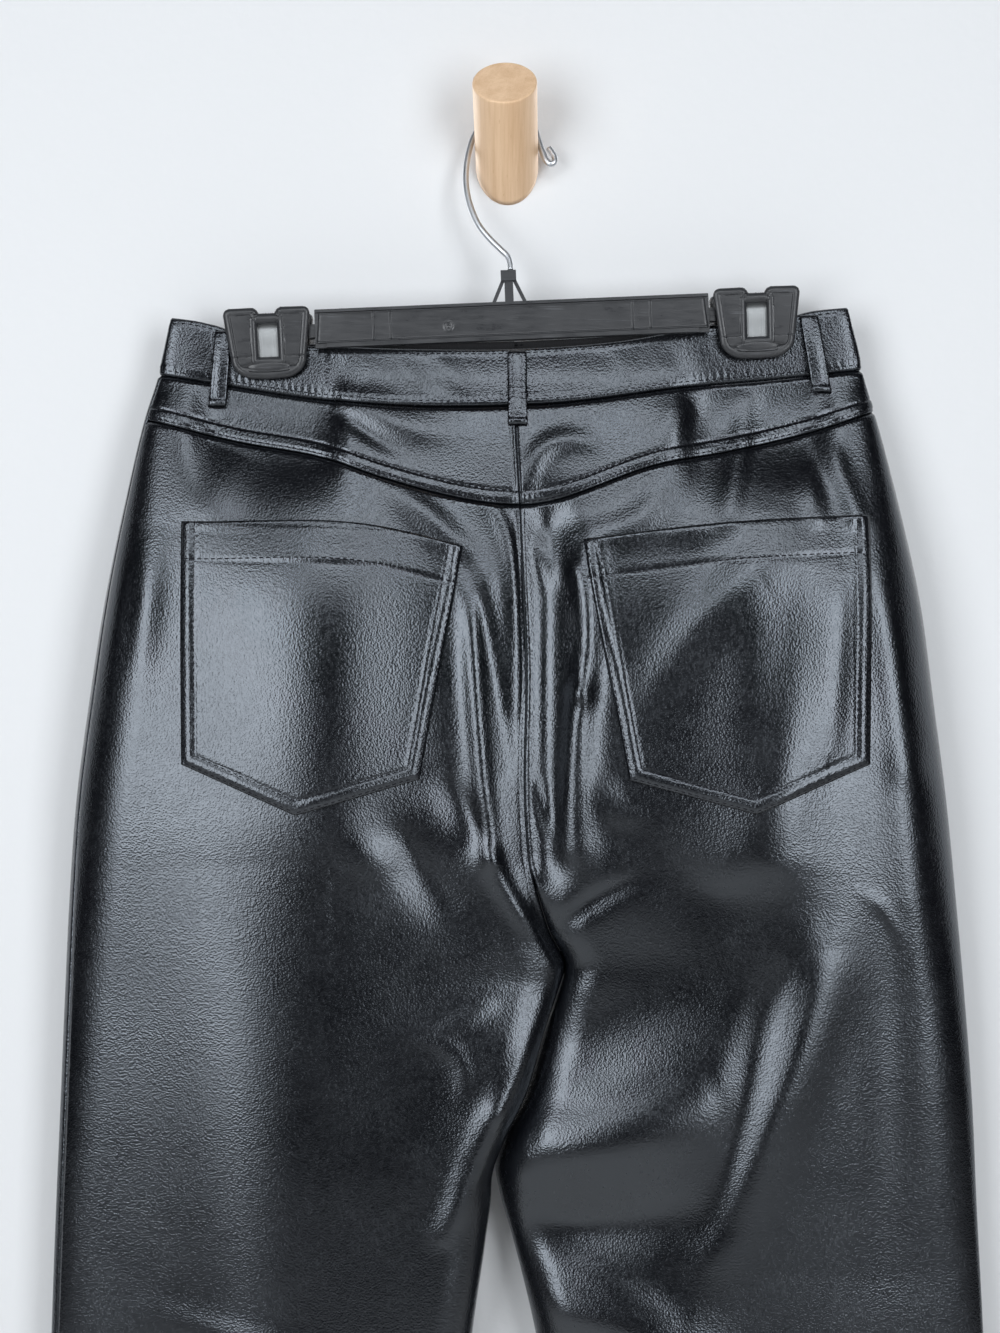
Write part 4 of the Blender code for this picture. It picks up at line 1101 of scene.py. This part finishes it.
def pocket_relief(outline, x, z, gape):
    """How high a patch pocket stands: pressed down at its stitched edge, puffed between the two stitch lines,
    folded double along the mouth, and standing off where the mouth gapes."""
    edge, mouth, around = pocket_edges(outline, x, z)
    relief = POCKET_RISE - 0.9 * bell(edge, 0.8)
    relief = relief + stitched(edge, 1.5, 0.45, 0.7) + stitched(edge, 7.2, 0.55, 0.9)
    relief = relief + 0.34 * step(edge, 1.8, 3.2) * (1 - step(edge, 5.8, 7.0))
    run = x - z
    relief = relief + puckers(run, edge, 4.3, 2.4, 3.2, 0.17, 17.0 + gape[0])
    relief = relief + puckers(run, edge, 9.5, 2.2, 3.9, 0.16, 19.0 + gape[0])
    relief = relief + 0.35 * (1 - step(mouth, POCKET_HEM - 0.4, POCKET_HEM + 0.8))
    relief = relief + stitched(mouth, POCKET_HEM, 0.4, 0.9) + rolled(mouth, 0.4, 0.8)
    relief = relief + puckers(x, mouth, POCKET_HEM - 2.5, 2.4, 3.7, 0.08, 23.0)
    centre, half_width, height = gape
    return relief + height * bell(x - centre, half_width) * bell(mouth, 9.0)


POCKET_GAPES = {"left": (-90.0, 26.0, 0.8), "right": (96.0, 20.0, 2.2)}


def pocket_face(word, x, z):
    outline = POCKET_LEFT if word == "left" else POCKET_RIGHT
    return on_back(x, z) - 0.6 - pocket_relief(outline, x, z, POCKET_GAPES[word])


def add_pocket(side, word):
    values = bpy.context.scene.trousers_leather
    outline = POCKET_LEFT if side == LEFT else POCKET_RIGHT
    x, z = pocket_grid(outline)
    grid = np.stack([x, pocket_face(word, x, z), z], -1)
    made = leather_piece(f"pocket_{word}_cloth", grid, LEFT, BACK, values.cloth_wall, [f"pocket_{word}"])
    declare_sheet(made)
    return made


def add_loop(name, layer, top_x, top_z, bottom_x, bottom_z, width):
    """A belt loop: a folded strip that lies on the waistband at both ends, turned under at the bottom, and
    stands off between them."""
    share = np.linspace(0, 1, 56)[:, None]
    across = np.linspace(-0.5, 0.5, 17)[None, :]
    x = top_x + (bottom_x - top_x) * share + across * width
    z = top_z + (bottom_z - top_z) * share + 0 * across
    surface = on_layer(layer, x, z) * layer
    flat = surface.min(axis=1, keepdims=True)
    side = width / 2 - np.abs(across) * width
    rise = 1.9 * np.sin(math.pi * share) ** 0.7
    run = share * abs(bottom_z - top_z)
    fold = 0.7 * step(run, abs(bottom_z - top_z) - 4.2, abs(bottom_z - top_z) - 2.6)
    edge = rolled(side, 0.55, 0.9) + stitched(side, 2.0, 0.16, 0.6) + 0.10 * step(side, 2.4, 4.2)
    end = rolled(np.abs(bottom_z - top_z) - run, 0.9, 0.9) + rolled(run, 0.6, 0.9)
    edge = edge + puckers(run, side, 2.6, 1.4, 3.3, 0.08, 29.0 + top_x)
    height = flat - (0.9 + SEAM_GAP + 1.3 + rise + fold + edge + end)
    grid = np.stack([x, height * layer, z + 0 * x], -1)
    made = leather_piece(f"{name}_cloth", grid, LEFT, layer, 1.3 * MM, [name])
    declare_sheet(made)
    return made


def add_fly():
    """The fly's facing on the centre front: straight along the seam and curved into it at the bottom."""
    values = bpy.context.scene.trousers_leather
    edge = inner_edge(RIGHT, FRONT, -200.0)
    down = np.linspace(0, 1, 110)[:, None]
    across = np.linspace(0, 1, 30)[None, :]
    z = (WAIST_SEAM[4][1] - 2.0) + (FLY_BOTTOM - WAIST_SEAM[4][1] + 2.0) * down
    curve = np.clip((z - FLY_BOTTOM) / 40.0, 0, 1)
    width = 1.0 + (FLY_WIDTH - 1.0) * np.sqrt(np.clip(1 - (1 - curve) ** 2, 0, 1))
    x = edge + width * across
    outer = width * (1 - across)
    relief = 2.0 - 0.8 * bell(outer, 0.9) + stitched(outer, 2.0) + stitched(outer, 8.0)
    relief = relief + puckers(z + 0 * x, outer, 5.0, 2.4, 3.3, 0.12, 31.0)
    grid = np.stack([x, cloth_y(RIGHT, FRONT, x, z) + 0.6 + relief, z + 0 * x], -1)
    made = leather_piece("fly_cloth", grid, LEFT, FRONT, values.cloth_wall, ["fly"])
    declare_sheet(made)
    return made


# ---- stitches


def stitch_rows(name, runs, nodes=()):
    """Rows of stitches as one mesh. Each run is the points of a line on the cloth and the normals there; each
    stitch is a short spindle of six sides that dips into the cloth at both ends."""
    values = bpy.context.scene.trousers_stitch
    length, pitch = values.length / MM, (values.length + values.gap) / MM
    radius = values.thickness / MM / 2
    rings = np.array([-0.5, -0.36, 0.0, 0.36, 0.5])
    thick = np.array([0.30, 0.85, 1.0, 0.85, 0.30])
    sink = np.array([-0.55, -0.02, 0.16, -0.02, -0.55])
    turn = np.arange(6) * math.pi / 3
    points = []
    for line, normal in runs:
        step_length = np.linalg.norm(np.diff(line, axis=0), axis=1)
        run = np.concatenate([[0], np.cumsum(step_length)])
        centres = np.arange(pitch / 2, run[-1] - length / 2, pitch)
        at = centres[:, None] + rings[None, :] * length
        place = np.stack([np.interp(at, run, line[:, k]) for k in range(3)], -1)
        up = np.stack([np.interp(at, run, normal[:, k]) for k in range(3)], -1)
        up /= np.linalg.norm(up, axis=-1, keepdims=True)
        ahead = np.gradient(place, axis=1)
        ahead /= np.linalg.norm(ahead, axis=-1, keepdims=True)
        aside = np.cross(ahead, up)
        ring = (
            aside[:, :, None] * np.cos(turn)[None, None, :, None]
            + up[:, :, None] * np.sin(turn)[None, None, :, None] * 0.8
        )
        place = place + up * (sink * radius)[None, :, None]
        points.append((place[:, :, None] + ring * (thick * radius)[None, :, None, None]).reshape(-1, 3))
    points = np.concatenate(points)
    count = len(points) // 30
    ring, corner = np.meshgrid(np.arange(4), np.arange(6), indexing="ij")
    ring, corner = ring.ravel(), corner.ravel()
    after = (corner + 1) % 6
    quads = np.stack([ring * 6 + corner, ring * 6 + after, ring * 6 + 6 + after, ring * 6 + 6 + corner], -1)
    caps = np.array([[5, 4, 1, 0], [4, 3, 2, 1], [24, 25, 28, 29], [25, 26, 27, 28]])
    quads = np.concatenate([quads, caps])
    faces = (np.arange(count)[:, None, None] * 30 + quads[None]).reshape(-1, 4)
    return add_piece(name, face_mesh(name, points, faces), [finish("thread")], "black_faux_leather", *nodes)


def line_on(face, x, z, layer=BACK):
    """A line on a surface y = face(x, z), with the surface's normals from small steps in x and z."""
    small = 0.8
    y = face(x, z)
    across = (face(x + small, z) - face(x - small, z)) / (2 * small)
    up = (face(x, z + small) - face(x, z - small)) / (2 * small)
    normal = np.stack([across, -np.ones_like(x), up], -1) * layer
    normal /= np.linalg.norm(normal, axis=-1, keepdims=True)
    return np.stack([x, y, z], -1), normal


def seam_line(rows, low_x, high_x, offset, face, layer=BACK):
    """A stitch line beside a seam, at a height above it."""
    x = np.arange(low_x, high_x, 1.0)
    z = seam_height(rows, x) + offset
    return line_on(face, x, z, layer)


def yoke_face(side):
    return lambda x, z: cloth_y(side, BACK, x, z) - 0.6 - yoke_relief(x, z, side)


def band_face(layer):
    return lambda x, z: on_layer(layer, x, z) - layer * (0.9 + band_relief(x, z, layer))


def inward(points, distance):
    """A polyline moved to its left by a distance, with its corners mitred."""
    points = np.array(points, float)
    run = np.diff(points, axis=0)
    run /= np.linalg.norm(run, axis=1, keepdims=True)
    left = np.stack([-run[:, 1], run[:, 0]], -1)
    moved = [points[0] + left[0] * distance]
    for before, after, corner in zip(left, left[1:], points[1:-1]):
        middle = before + after
        moved.append(corner + middle * (distance * 2 / (middle @ middle)))
    moved.append(points[-1] + left[-1] * distance)
    return np.array(moved)


def polyline(points, spacing=1.0):
    """Points about a spacing apart along straight stretches."""
    parts = []
    for first, second in zip(points, points[1:]):
        count = max(2, int(np.linalg.norm(np.subtract(second, first)) / spacing))
        share = np.linspace(0, 1, count)[:, None]
        parts.append(np.array(first) + (np.array(second) - np.array(first)) * share)
    return parts


def add_stitches():
    """The thread of the stitch lines on the waistband, the yokes, the pockets and the hems: a mesh for the waistband,
    for each yoke and for each pocket, and one for all four hems.
    """
    band = band_face(BACK)
    runs = []
    ends = {BACK: ((-182, 187),), FRONT: ((-180, 184),)}
    for layer in (BACK, FRONT):
        face = band_face(layer)
        top = TOP_EDGE if layer == BACK else FRONT_TOP_EDGE
        for low, high in ends[layer]:
            runs.append(seam_line(WAIST_SEAM, low - 1, high + 1, 2.6, face, layer))
            runs.append(seam_line(top, low + 6, high - 7, -2.4, face, layer))
    stitch_rows("waistband_stitches", runs)
    for side, word in SIDES:
        low, high = (-193, 6.5) if side == LEFT else (8.5, 196)
        face = yoke_face(side)
        runs = [seam_line(YOKE_SEAM, low, high, offset, face) for offset in (1.6, 7.3)]
        stitch_rows(f"yoke_stitches_{word}", runs)
    for word, outline in (("left", POCKET_LEFT), ("right", POCKET_RIGHT)):
        face = lambda x, z, word=word: pocket_face(word, x, z)
        mouth, bottom = outline["mouth"], outline["bottom"]
        path = (mouth[0], bottom[0], bottom[1], bottom[2], mouth[2])
        runs = []
        for distance in (1.5, 7.2):
            for part in polyline(inward(path, distance)):
                runs.append(line_on(face, part[:, 0], part[:, 1]))
        hem = np.array(mouth) - np.array([0, POCKET_HEM])
        hem[0, 0] += 1.5
        hem[2, 0] -= 1.5
        x = np.arange(hem[0, 0], hem[2, 0], 1.0)
        z = along(x, hem[:, 0], hem[:, 1])
        runs.append(line_on(face, x, z))
        stitch_rows(f"pocket_stitches_{word}", runs)
    runs = []
    for side, word in SIDES:
        for layer in (BACK, FRONT):
            face = leg_face(side, layer)
            x = np.linspace(outer_edge(side, -1125.0) - side * 6, inner_edge(side, layer, -1125.0) + side * 6, 230)
            runs.append(line_on(face, x, np.full_like(x, HEM_HEIGHT + 25.0), layer))
    stitch_rows("hem_stitches", runs)


def leg_face(side, layer):
    return lambda x, z: cloth_y(side, layer, x, z) - layer * (0.6 + leg_relief(x, z, side, layer))


# ---- hanger and peg


def closed_tube(name, rings, points_at_ends):
    """A closed skin round rings of points (rings x corners x 3), with a fan to a middle point at each end."""
    count, corners = rings.shape[:2]
    ring, corner = np.meshgrid(np.arange(count - 1), np.arange(corners), indexing="ij")
    ring, corner = ring.ravel(), corner.ravel()
    after = (corner + 1) % corners
    low, high = ring * corners, ring * corners + corners
    quads = np.stack([low + corner, low + after, high + after, high + corner], -1)
    edge = np.arange(corners)
    first, last = count * corners, (count - 1) * corners
    start = np.stack([np.full(corners, first), (edge + 1) % corners, edge], -1)
    end = np.stack([np.full(corners, first + 1), last + edge, last + (edge + 1) % corners], -1)
    points = np.concatenate([rings.reshape(-1, 3), np.array(points_at_ends)]) * MM
    mesh = bpy.data.meshes.new(name)
    mesh.from_pydata(points.tolist(), [], quads.tolist() + start.tolist() + end.tolist())
    mesh.polygons.foreach_set("use_smooth", np.ones(len(mesh.polygons), bool))
    mesh.update()
    return mesh


def on_hanger(points):
    """Points of the hanger, turned by its tilt and moved to its place."""
    x, y, z = np.moveaxis(points, -1, 0)
    turned = np.stack([
        x * math.cos(HANGER_TILT) - z * math.sin(HANGER_TILT), y,
        x * math.sin(HANGER_TILT) + z * math.cos(HANGER_TILT),
    ], -1)
    return turned + np.array(HANGER_PLACE)


def clip_edge():
    """The jaw's outline from the notch down one side and back up the other, a point every 0.55 mm."""
    top = CLIP_HEIGHT / 2
    corner = np.radians(np.linspace(0, 90, 12))
    half = [(0.0, top - 3.1), (5.0, top - 3.1), (5.7, top - 2.9), (7.0, top - 0.7), (7.7, top)]
    half += [(CLIP_TOP_HALF - 1.2, top), (CLIP_TOP_HALF - 0.3, top - 0.3), (CLIP_TOP_HALF, top - 1.2)]
    half += list(zip(CLIP_LOW_HALF - 11 + 11 * np.cos(corner), -top + 8.8 - 8.8 * np.sin(corner)))
    half = np.array(half + [(0.0, -top - 0.3)])
    whole = np.concatenate([half, (half * (-1, 1))[::-1][1:-1], half[:1]])
    run = np.concatenate([[0], np.cumsum(np.linalg.norm(np.diff(whole, axis=0), axis=1))])
    at = np.linspace(0, run[-1], int(run[-1] / 0.55))[:-1]
    return np.stack([np.interp(at, run, whole[:, 0]), np.interp(at, run, whole[:, 1])], -1)


def add_jaw(name, sign, layer, node):
    """One jaw: a plate between its window and its edge, with a raised rim round both, a groove in the shape of
    a lens under the window and a moulded line across at its foot."""
    edge = clip_edge()
    eye = np.array([0.0, 1.0])
    way = edge - eye
    half, low, high = WINDOW_WIDTH / 2 + 0.5, -9.6 - eye[1], 12.4 - eye[1]
    wide = half / np.maximum(np.abs(way[:, 0]), 1e-6)
    tall = np.where(way[:, 1] > 0, high, low) / np.where(np.abs(way[:, 1]) < 1e-6, 1e-6, way[:, 1])
    window = eye + way * np.minimum(wide, np.abs(tall))[:, None]
    share = (0.5 - 0.5 * np.cos(np.linspace(0, math.pi, 26)))[:, None, None]
    flat = window + (edge - window) * share
    from_edge = np.sqrt(((flat[:, :, None] - edge[None, None, ::2]) ** 2).sum(-1)).min(-1)
    inside = np.stack([np.abs(flat[..., 0]) - half, flat[..., 1] - 12.4, -9.6 - flat[..., 1]], -1).max(-1)
    relief = 0.22 * (1 - step(from_edge, 0.8, 1.2)) - 0.3 * (1 - rounded(from_edge, 0.4))
    relief = relief + 0.2 * (1 - step(inside, 0.6, 1.0)) - 0.25 * (1 - rounded(inside, 0.4))
    lens = (np.hypot(flat[..., 0] / 12.0, (flat[..., 1] + 12.3) / 2.0) - 1) * 2.0
    relief = relief - 0.9 * bell(lens, 0.42) - 0.25 * bell(flat[..., 1] + 7.0, 0.3) * step(inside, 1.5, 2.2)
    lift = CLIP_WALL / 2 + relief
    lean = layer * CLIP_LEAN
    y, z = -layer * lift, flat[..., 1]
    reach = CLIP_WALL / 2 / math.cos(CLIP_LEAN) + CLIP_BITE + CLIP_HEIGHT / 2 * math.tan(CLIP_LEAN)
    place = np.stack([
        flat[..., 0] + sign * CLIP_REACH,
        y * math.cos(lean) - z * math.sin(lean) - layer * reach,
        y * math.sin(lean) + z * math.cos(lean) + CLIP_DROP,
    ], -1)
    place = np.concatenate([place, place[:, :1]], 1)
    grid = on_hanger(place if layer == BACK else place[:, ::-1])
    mesh = grid_mesh(name, grid)
    made = add_piece(name, mesh, [finish("plastic")], "black_plastic", node)
    weld = made.modifiers.new("closed", "WELD")
    weld.merge_threshold = 0.00001
    give_wall(made, CLIP_WALL * MM)
    return made


def add_spring(name, sign, node):
    """A clip's spring: a bent strip with two pressed channels and a small pressed mark in the front leg."""
    leg = CLIP_WALL / 2
    face = lambda z: CLIP_BITE + (z + CLIP_HEIGHT / 2) * math.tan(CLIP_LEAN)
    half = np.array([
        (face(-10.4) + leg, -10.4), (face(-3.0) + leg, -3.0), (face(5.5) + leg, 5.5),
        (face(7.0) + leg * 0.5, 8.0), (5.1, 9.6), (4.0, 11.2), (2.2, 12.6),
    ])
    profile = np.concatenate([half * (-1, 1), [(0.0, 13.1)], half[::-1]])
    run = np.concatenate([[0], np.cumsum(np.linalg.norm(np.diff(profile, axis=0), axis=1))])
    at = np.linspace(0, run[-1], 150)
    y, z = along(at, run, profile[:, 0])[:, None], along(at, run, profile[:, 1])[:, None]
    across = np.linspace(-0.5, 0.5, 37)[None, :]
    end = np.minimum(at, run[-1] - at)[:, None]
    x = across * (SPRING_WIDTH + 0.6) * (0.84 + 0.16 * step(end, 0.0, 4.5))
    leg_part = step(end, 3.4, 4.6) * (1 - step(end, 15.5, 17.0))
    channel = bell(np.abs(x) - 4.1, 0.42) + 0.8 * bell(np.abs(x) - 2.9, 0.35)
    mark = bell(np.hypot(x, end - 3.4) - 1.5, 0.4) * (1 - step(end, 3.4, 4.0))
    relief = 0.05 * channel * leg_part - 0.12 * mark
    ahead = np.stack([np.gradient(y[:, 0]), np.gradient(z[:, 0])], -1)
    ahead /= np.linalg.norm(ahead, axis=1, keepdims=True)
    out_y, out_z = -ahead[:, 1:2], ahead[:, 0:1]
    points = np.stack([
        x + sign * CLIP_REACH + 0 * y, y + out_y * (relief + SPRING_WALL / 2),
        z + out_z * (relief + SPRING_WALL / 2) + CLIP_DROP,
    ], -1)
    made = add_piece(name, grid_mesh(name, on_hanger(points)[::-1]), [finish("steel")], "spring_steel", node)
    give_wall(made, SPRING_WALL * MM)
    return made


def add_bar_face():
    """The bar's face: a rim along the top with a fine bead under it, a bead above the bottom flange, thin ribs
    in pairs and a moulded dot in a ring, on the web's front."""
    half = BAR_LENGTH / 2 - 1.4
    ribs = (-74.0, -65.0, 64.5, 74.0)
    beside = [(rib + np.arange(-1.4, 1.5, 0.28)) / half for rib in ribs]
    beside.append((np.arange(-3.6, 3.7, 0.4) - 34.0) / half)
    across = np.unique(np.concatenate([np.linspace(-1, 1, 200), *beside]))[None, :]
    z = np.concatenate([
        np.linspace(-BAR_HEIGHT / 2 + 2.3, -BAR_HEIGHT / 2 + 5, 10), np.linspace(-4.9, 7.2, 28),
        np.linspace(7.4, BAR_HEIGHT / 2 - 1.7, 8),
    ])[:, None]
    x = across * (half - z * 0.09)
    relief = 0.5 + 0.35 * bell(z - 8.0, 0.4) + 0.4 * bell(z + BAR_HEIGHT / 2 - 2.9, 0.45)
    for rib in ribs:
        relief = relief + 0.45 * bell(x - rib, 0.35) * step(z, -8.0, -7.4)
    round_dot = np.hypot(x + 34.0, z + 1.5)
    relief = relief + 0.6 * bell(round_dot, 0.8) + 0.35 * bell(round_dot - 2.3, 0.45)
    relief = relief - 0.35 * (1 - rounded(BAR_LENGTH / 2 - 1.4 - z * 0.09 - np.abs(x), 0.6))
    y = BAR_FRONT - relief + 0 * z
    grid = on_hanger(np.stack([x, y, z + 0 * x], -1)[::-1])
    made = add_piece("hanger_bar_face", grid_mesh("hanger_bar_face", grid), [finish("plastic")], "black_plastic")
    give_wall(made, 0.8 * MM)
    return made


def add_hook():
    """The hook's wire: rings of points round a smooth curve through its route, in a plane that leans."""
    route = np.array(WIRE_ROUTE)
    run = np.concatenate([[0], np.cumsum(np.linalg.norm(np.diff(route, axis=0), axis=1))])
    at = np.linspace(0, run[-1], 320)
    x, z = along(at, run, route[:, 0]), along(at, run, route[:, 1])
    low, high = route[:, 1].min(), route[:, 1].max()
    y = WIRE_LOW_Y + (WIRE_TOP_Y - WIRE_LOW_Y) * (z - low) / (high - low)
    line = np.stack([x, y, z], -1)
    ahead = np.gradient(line, axis=0)
    ahead /= np.linalg.norm(ahead, axis=1, keepdims=True)
    flat = np.array([0.0, 1.0, (WIRE_LOW_Y - WIRE_TOP_Y) / (high - low)])
    flat = flat / np.linalg.norm(flat)
    aside = np.cross(ahead, flat)
    aside /= np.linalg.norm(aside, axis=1, keepdims=True)
    up = np.cross(aside, ahead)
    turn = np.linspace(0, 2 * math.pi, 20, endpoint=False)[None, :, None]
    end = np.minimum(at, run[-1] - at)
    radius = (WIRE_DIAMETER / 2 * (0.35 + 0.65 * rounded(end, 0.8)))[:, None, None]
    rings = line[:, None] + (aside[:, None] * np.cos(turn) + up[:, None] * np.sin(turn)) * radius
    mesh = closed_tube("hook_wire", rings, (line[0], line[-1]))
    return add_piece("hook_wire", mesh, [finish("wire")], "zinc_wire", "hanger_hook")


def add_peg():
    """The peg: rings round a leaning axis from the wall's plane to an eased end."""
    axis = np.array([PEG_SIDEWAYS, -math.cos(PEG_RISE), math.sin(PEG_RISE)])
    axis /= np.linalg.norm(axis)
    side = np.cross(axis, (0, 0, 1.0))
    side /= np.linalg.norm(side)
    up = np.cross(side, axis)
    radius = PEG_DIAMETER / 2
    turn = np.linspace(0, 2 * math.pi, 96, endpoint=False)[None, :, None]
    spoke = side * np.cos(turn) + up * np.sin(turn)
    foot = -spoke[..., 1:2] * radius / axis[1]
    share = np.linspace(0, 1, 24)[:, None, None]
    body = spoke * radius + axis * (foot + (PEG_LENGTH - 1.0 - foot) * share)
    ease = np.radians(np.linspace(10, 90, 8))[:, None, None]
    edge = spoke * (radius - 1 + np.cos(ease)) + axis * (PEG_LENGTH - 1 + np.sin(ease))
    face = spoke * radius * np.array([0.93, 0.8, 0.6, 0.4, 0.2])[:, None, None] + axis * PEG_LENGTH
    rings = np.concatenate([body, edge, face])
    mesh = closed_tube("peg_wood", rings, ((0, 0, 0), axis * PEG_LENGTH))
    return add_piece("peg_wood", mesh, [finish("wood")], "beech", "wall_peg")


CAD_FINISHES = {"hanger_bar": "plastic", "waist_button": "button"}


def add_hanger():
    for sign, word in SIDES:
        for layer, place in ((BACK, "front"), (FRONT, "back")):
            add_jaw(f"jaw_{word}_{place}", sign, layer, f"clip_{word}_{place}")
        add_spring(f"spring_{word}", sign, f"clip_{word}_spring")
    add_bar_face()
    add_hook()
    for name, made in CAD_FINISHES.items():
        node = bpy.data.objects[name]
        node.data.materials.clear()
        node.data.materials.append(finish(made))


# ---- the stage


def add_wall_and_floor():
    values = bpy.context.scene.trousers_stage
    low = values.floor_height / MM
    wall = np.array([[(-3000, 0.5, 1800), (3000, 0.5, 1800)], [(-3000, 0.5, low), (3000, 0.5, low)]], float)
    floor = np.array([[(-3000, 4000, low), (3000, 4000, low)], [(-3000, -4000, low), (3000, -4000, low)]], float)
    for name, grid, made in (("wall_backdrop", wall, "wall"), ("floor", floor, "floor")):
        plane = bpy.data.objects.new(name, grid_mesh(name, grid))
        plane.data.materials.append(finish(made))
        bpy.context.scene.collection.objects.link(plane)
    bpy.data.objects["wall_backdrop"].visible_shadow = False


def add_light(name, place, target, size, power, colour):
    """A soft rectangular light that faces a target."""
    lamp = bpy.data.lights.new(name, "AREA")
    lamp.shape = "RECTANGLE"
    lamp.size, lamp.size_y = size
    lamp.energy = power
    lamp.color = colour
    made = bpy.data.objects.new(name, lamp)
    made.visible_camera = False
    made.location = place
    made.rotation_euler = (Vector(target) - Vector(place)).to_track_quat("-Z", "Y").to_euler()
    bpy.context.scene.collection.objects.link(made)
    return made


def add_camera():
    """A level camera square to the wall, at the height of the seat."""
    lens = bpy.context.scene.trousers_stage.lens
    data = bpy.data.cameras.new("camera")
    data.lens = lens
    data.sensor_fit = "HORIZONTAL"
    data.sensor_width = 36.0
    data.dof.use_dof = False
    made = bpy.data.objects.new("camera", data)
    made.location = (-0.0039, -1.103, -0.276)
    made.rotation_euler = (math.pi / 2, 0, 0)
    bpy.context.scene.collection.objects.link(made)
    bpy.context.scene.camera = made


def add_stage():
    values = bpy.context.scene.trousers_stage
    add_wall_and_floor()
    target = (0.0, -0.02, -0.32)
    cool, neutral = (0.93, 0.965, 1.0), (1.0, 0.985, 0.965)
    add_light("key", (0.94, -1.60, -0.16), (0.0, -0.02, -0.36), (0.68, 1.45), values.key_power, cool)
    add_light("fill", (-0.99, -1.58, -0.16), (0.0, -0.02, -0.36), (0.92, 1.40), values.fill_power, cool)
    add_light("top", (0.05, -1.50, 0.70), (0.0, -0.02, -0.45), (1.0, 0.55), values.top_power, cool)
    for side in (LEFT, RIGHT):
        add_light(f"rear_{side}", (side * 1.1, 1.6, 0.3), (0, 0, -0.55), (0.9, 1.2), values.rear_power, neutral)
    world = bpy.data.worlds.new("world")
    world.use_nodes = True
    world.node_tree.nodes["Background"].inputs["Color"].default_value = (0.86, 0.88, 0.92, 1.0)
    world.node_tree.nodes["Background"].inputs["Strength"].default_value = 0.8
    world.cycles_visibility.glossy = False
    world.cycles_visibility.diffuse = False
    bpy.context.scene.world = world
    bpy.context.scene.view_settings.view_transform = "Standard"
    add_camera()


# ---- operators


class TROUSERS_OT_legs(bpy.types.Operator):
    """Add the four leg panels"""

    bl_idname = "trousers.legs"
    bl_label = "Legs"

    def execute(self, context):
        for side, word in SIDES:
            for layer in (BACK, FRONT):
                add_leg(side, word, layer)
        return {"FINISHED"}


class TROUSERS_OT_yokes(bpy.types.Operator):
    """Add the two halves of the back yoke"""

    bl_idname = "trousers.yokes"
    bl_label = "Yokes"

    def execute(self, context):
        for side, word in SIDES:
            add_yoke(side, word)
        return {"FINISHED"}


class TROUSERS_OT_waistband(bpy.types.Operator):
    """Add the waistband"""

    bl_idname = "trousers.waistband"
    bl_label = "Waistband"

    def execute(self, context):
        add_waistband()
        return {"FINISHED"}


class TROUSERS_OT_pockets(bpy.types.Operator):
    """Add the two patch pockets"""

    bl_idname = "trousers.pockets"
    bl_label = "Pockets"

    def execute(self, context):
        for side, word in SIDES:
            add_pocket(side, word)
        return {"FINISHED"}


class TROUSERS_OT_loops(bpy.types.Operator):
    """Add the belt loops"""

    bl_idname = "trousers.loops"
    bl_label = "Belt loops"

    def execute(self, context):
        for row in LOOPS:
            add_loop(*row)
        return {"FINISHED"}


class TROUSERS_OT_fly(bpy.types.Operator):
    """Add the fly's facing"""

    bl_idname = "trousers.fly"
    bl_label = "Fly"

    def execute(self, context):
        add_fly()
        return {"FINISHED"}


class TROUSERS_OT_stitches(bpy.types.Operator):
    """Add the rows of stitches"""

    bl_idname = "trousers.stitches"
    bl_label = "Stitches"

    def execute(self, context):
        add_stitches()
        return {"FINISHED"}


class TROUSERS_OT_hanger(bpy.types.Operator):
    """Add the clip hanger and its hook"""

    bl_idname = "trousers.hanger"
    bl_label = "Hanger"

    def execute(self, context):
        add_hanger()
        return {"FINISHED"}


class TROUSERS_OT_peg(bpy.types.Operator):
    """Add the wooden peg"""

    bl_idname = "trousers.peg"
    bl_label = "Peg"

    def execute(self, context):
        add_peg()
        return {"FINISHED"}


class TROUSERS_OT_stage(bpy.types.Operator):
    """Add the wall, the floor, the lights and the camera"""

    bl_idname = "trousers.stage"
    bl_label = "Stage"

    def execute(self, context):
        add_stage()
        return {"FINISHED"}


class TROUSERS_PT_panel(bpy.types.Panel):
    """Buttons and settings in the sidebar"""

    bl_label = "Trousers"
    bl_space_type = "VIEW_3D"
    bl_region_type = "UI"
    bl_category = "Trousers"

    def draw(self, context):
        for operator in OPERATORS:
            self.layout.operator(operator.bl_idname)
        for name in SETTINGS:
            box = self.layout.box()
            group = getattr(context.scene, name)
            for key in group.bl_rna.properties.keys():
                if key not in ("rna_type", "name"):
                    box.prop(group, key)


OPERATORS = (
    TROUSERS_OT_legs, TROUSERS_OT_yokes, TROUSERS_OT_waistband, TROUSERS_OT_pockets, TROUSERS_OT_loops,
    TROUSERS_OT_fly, TROUSERS_OT_stitches, TROUSERS_OT_hanger, TROUSERS_OT_peg, TROUSERS_OT_stage,
)
SETTINGS = {
    "trousers_leather": LeatherSettings, "trousers_stitch": StitchSettings,
    "trousers_hanger": HangerSettings, "trousers_stage": StageSettings,
}


def register():
    for name, group in SETTINGS.items():
        bpy.utils.register_class(group)
        setattr(bpy.types.Scene, name, PointerProperty(type=group))
    for kind in (*OPERATORS, TROUSERS_PT_panel):
        bpy.utils.register_class(kind)


def unregister():
    for kind in reversed((*OPERATORS, TROUSERS_PT_panel)):
        bpy.utils.unregister_class(kind)
    for name, group in SETTINGS.items():
        delattr(bpy.types.Scene, name)
        bpy.utils.unregister_class(group)


def main():
    register()
    for operator in OPERATORS:
        group, name = operator.bl_idname.split(".")
        getattr(getattr(bpy.ops, group), name)()


if __name__ == "__main__":
    main()
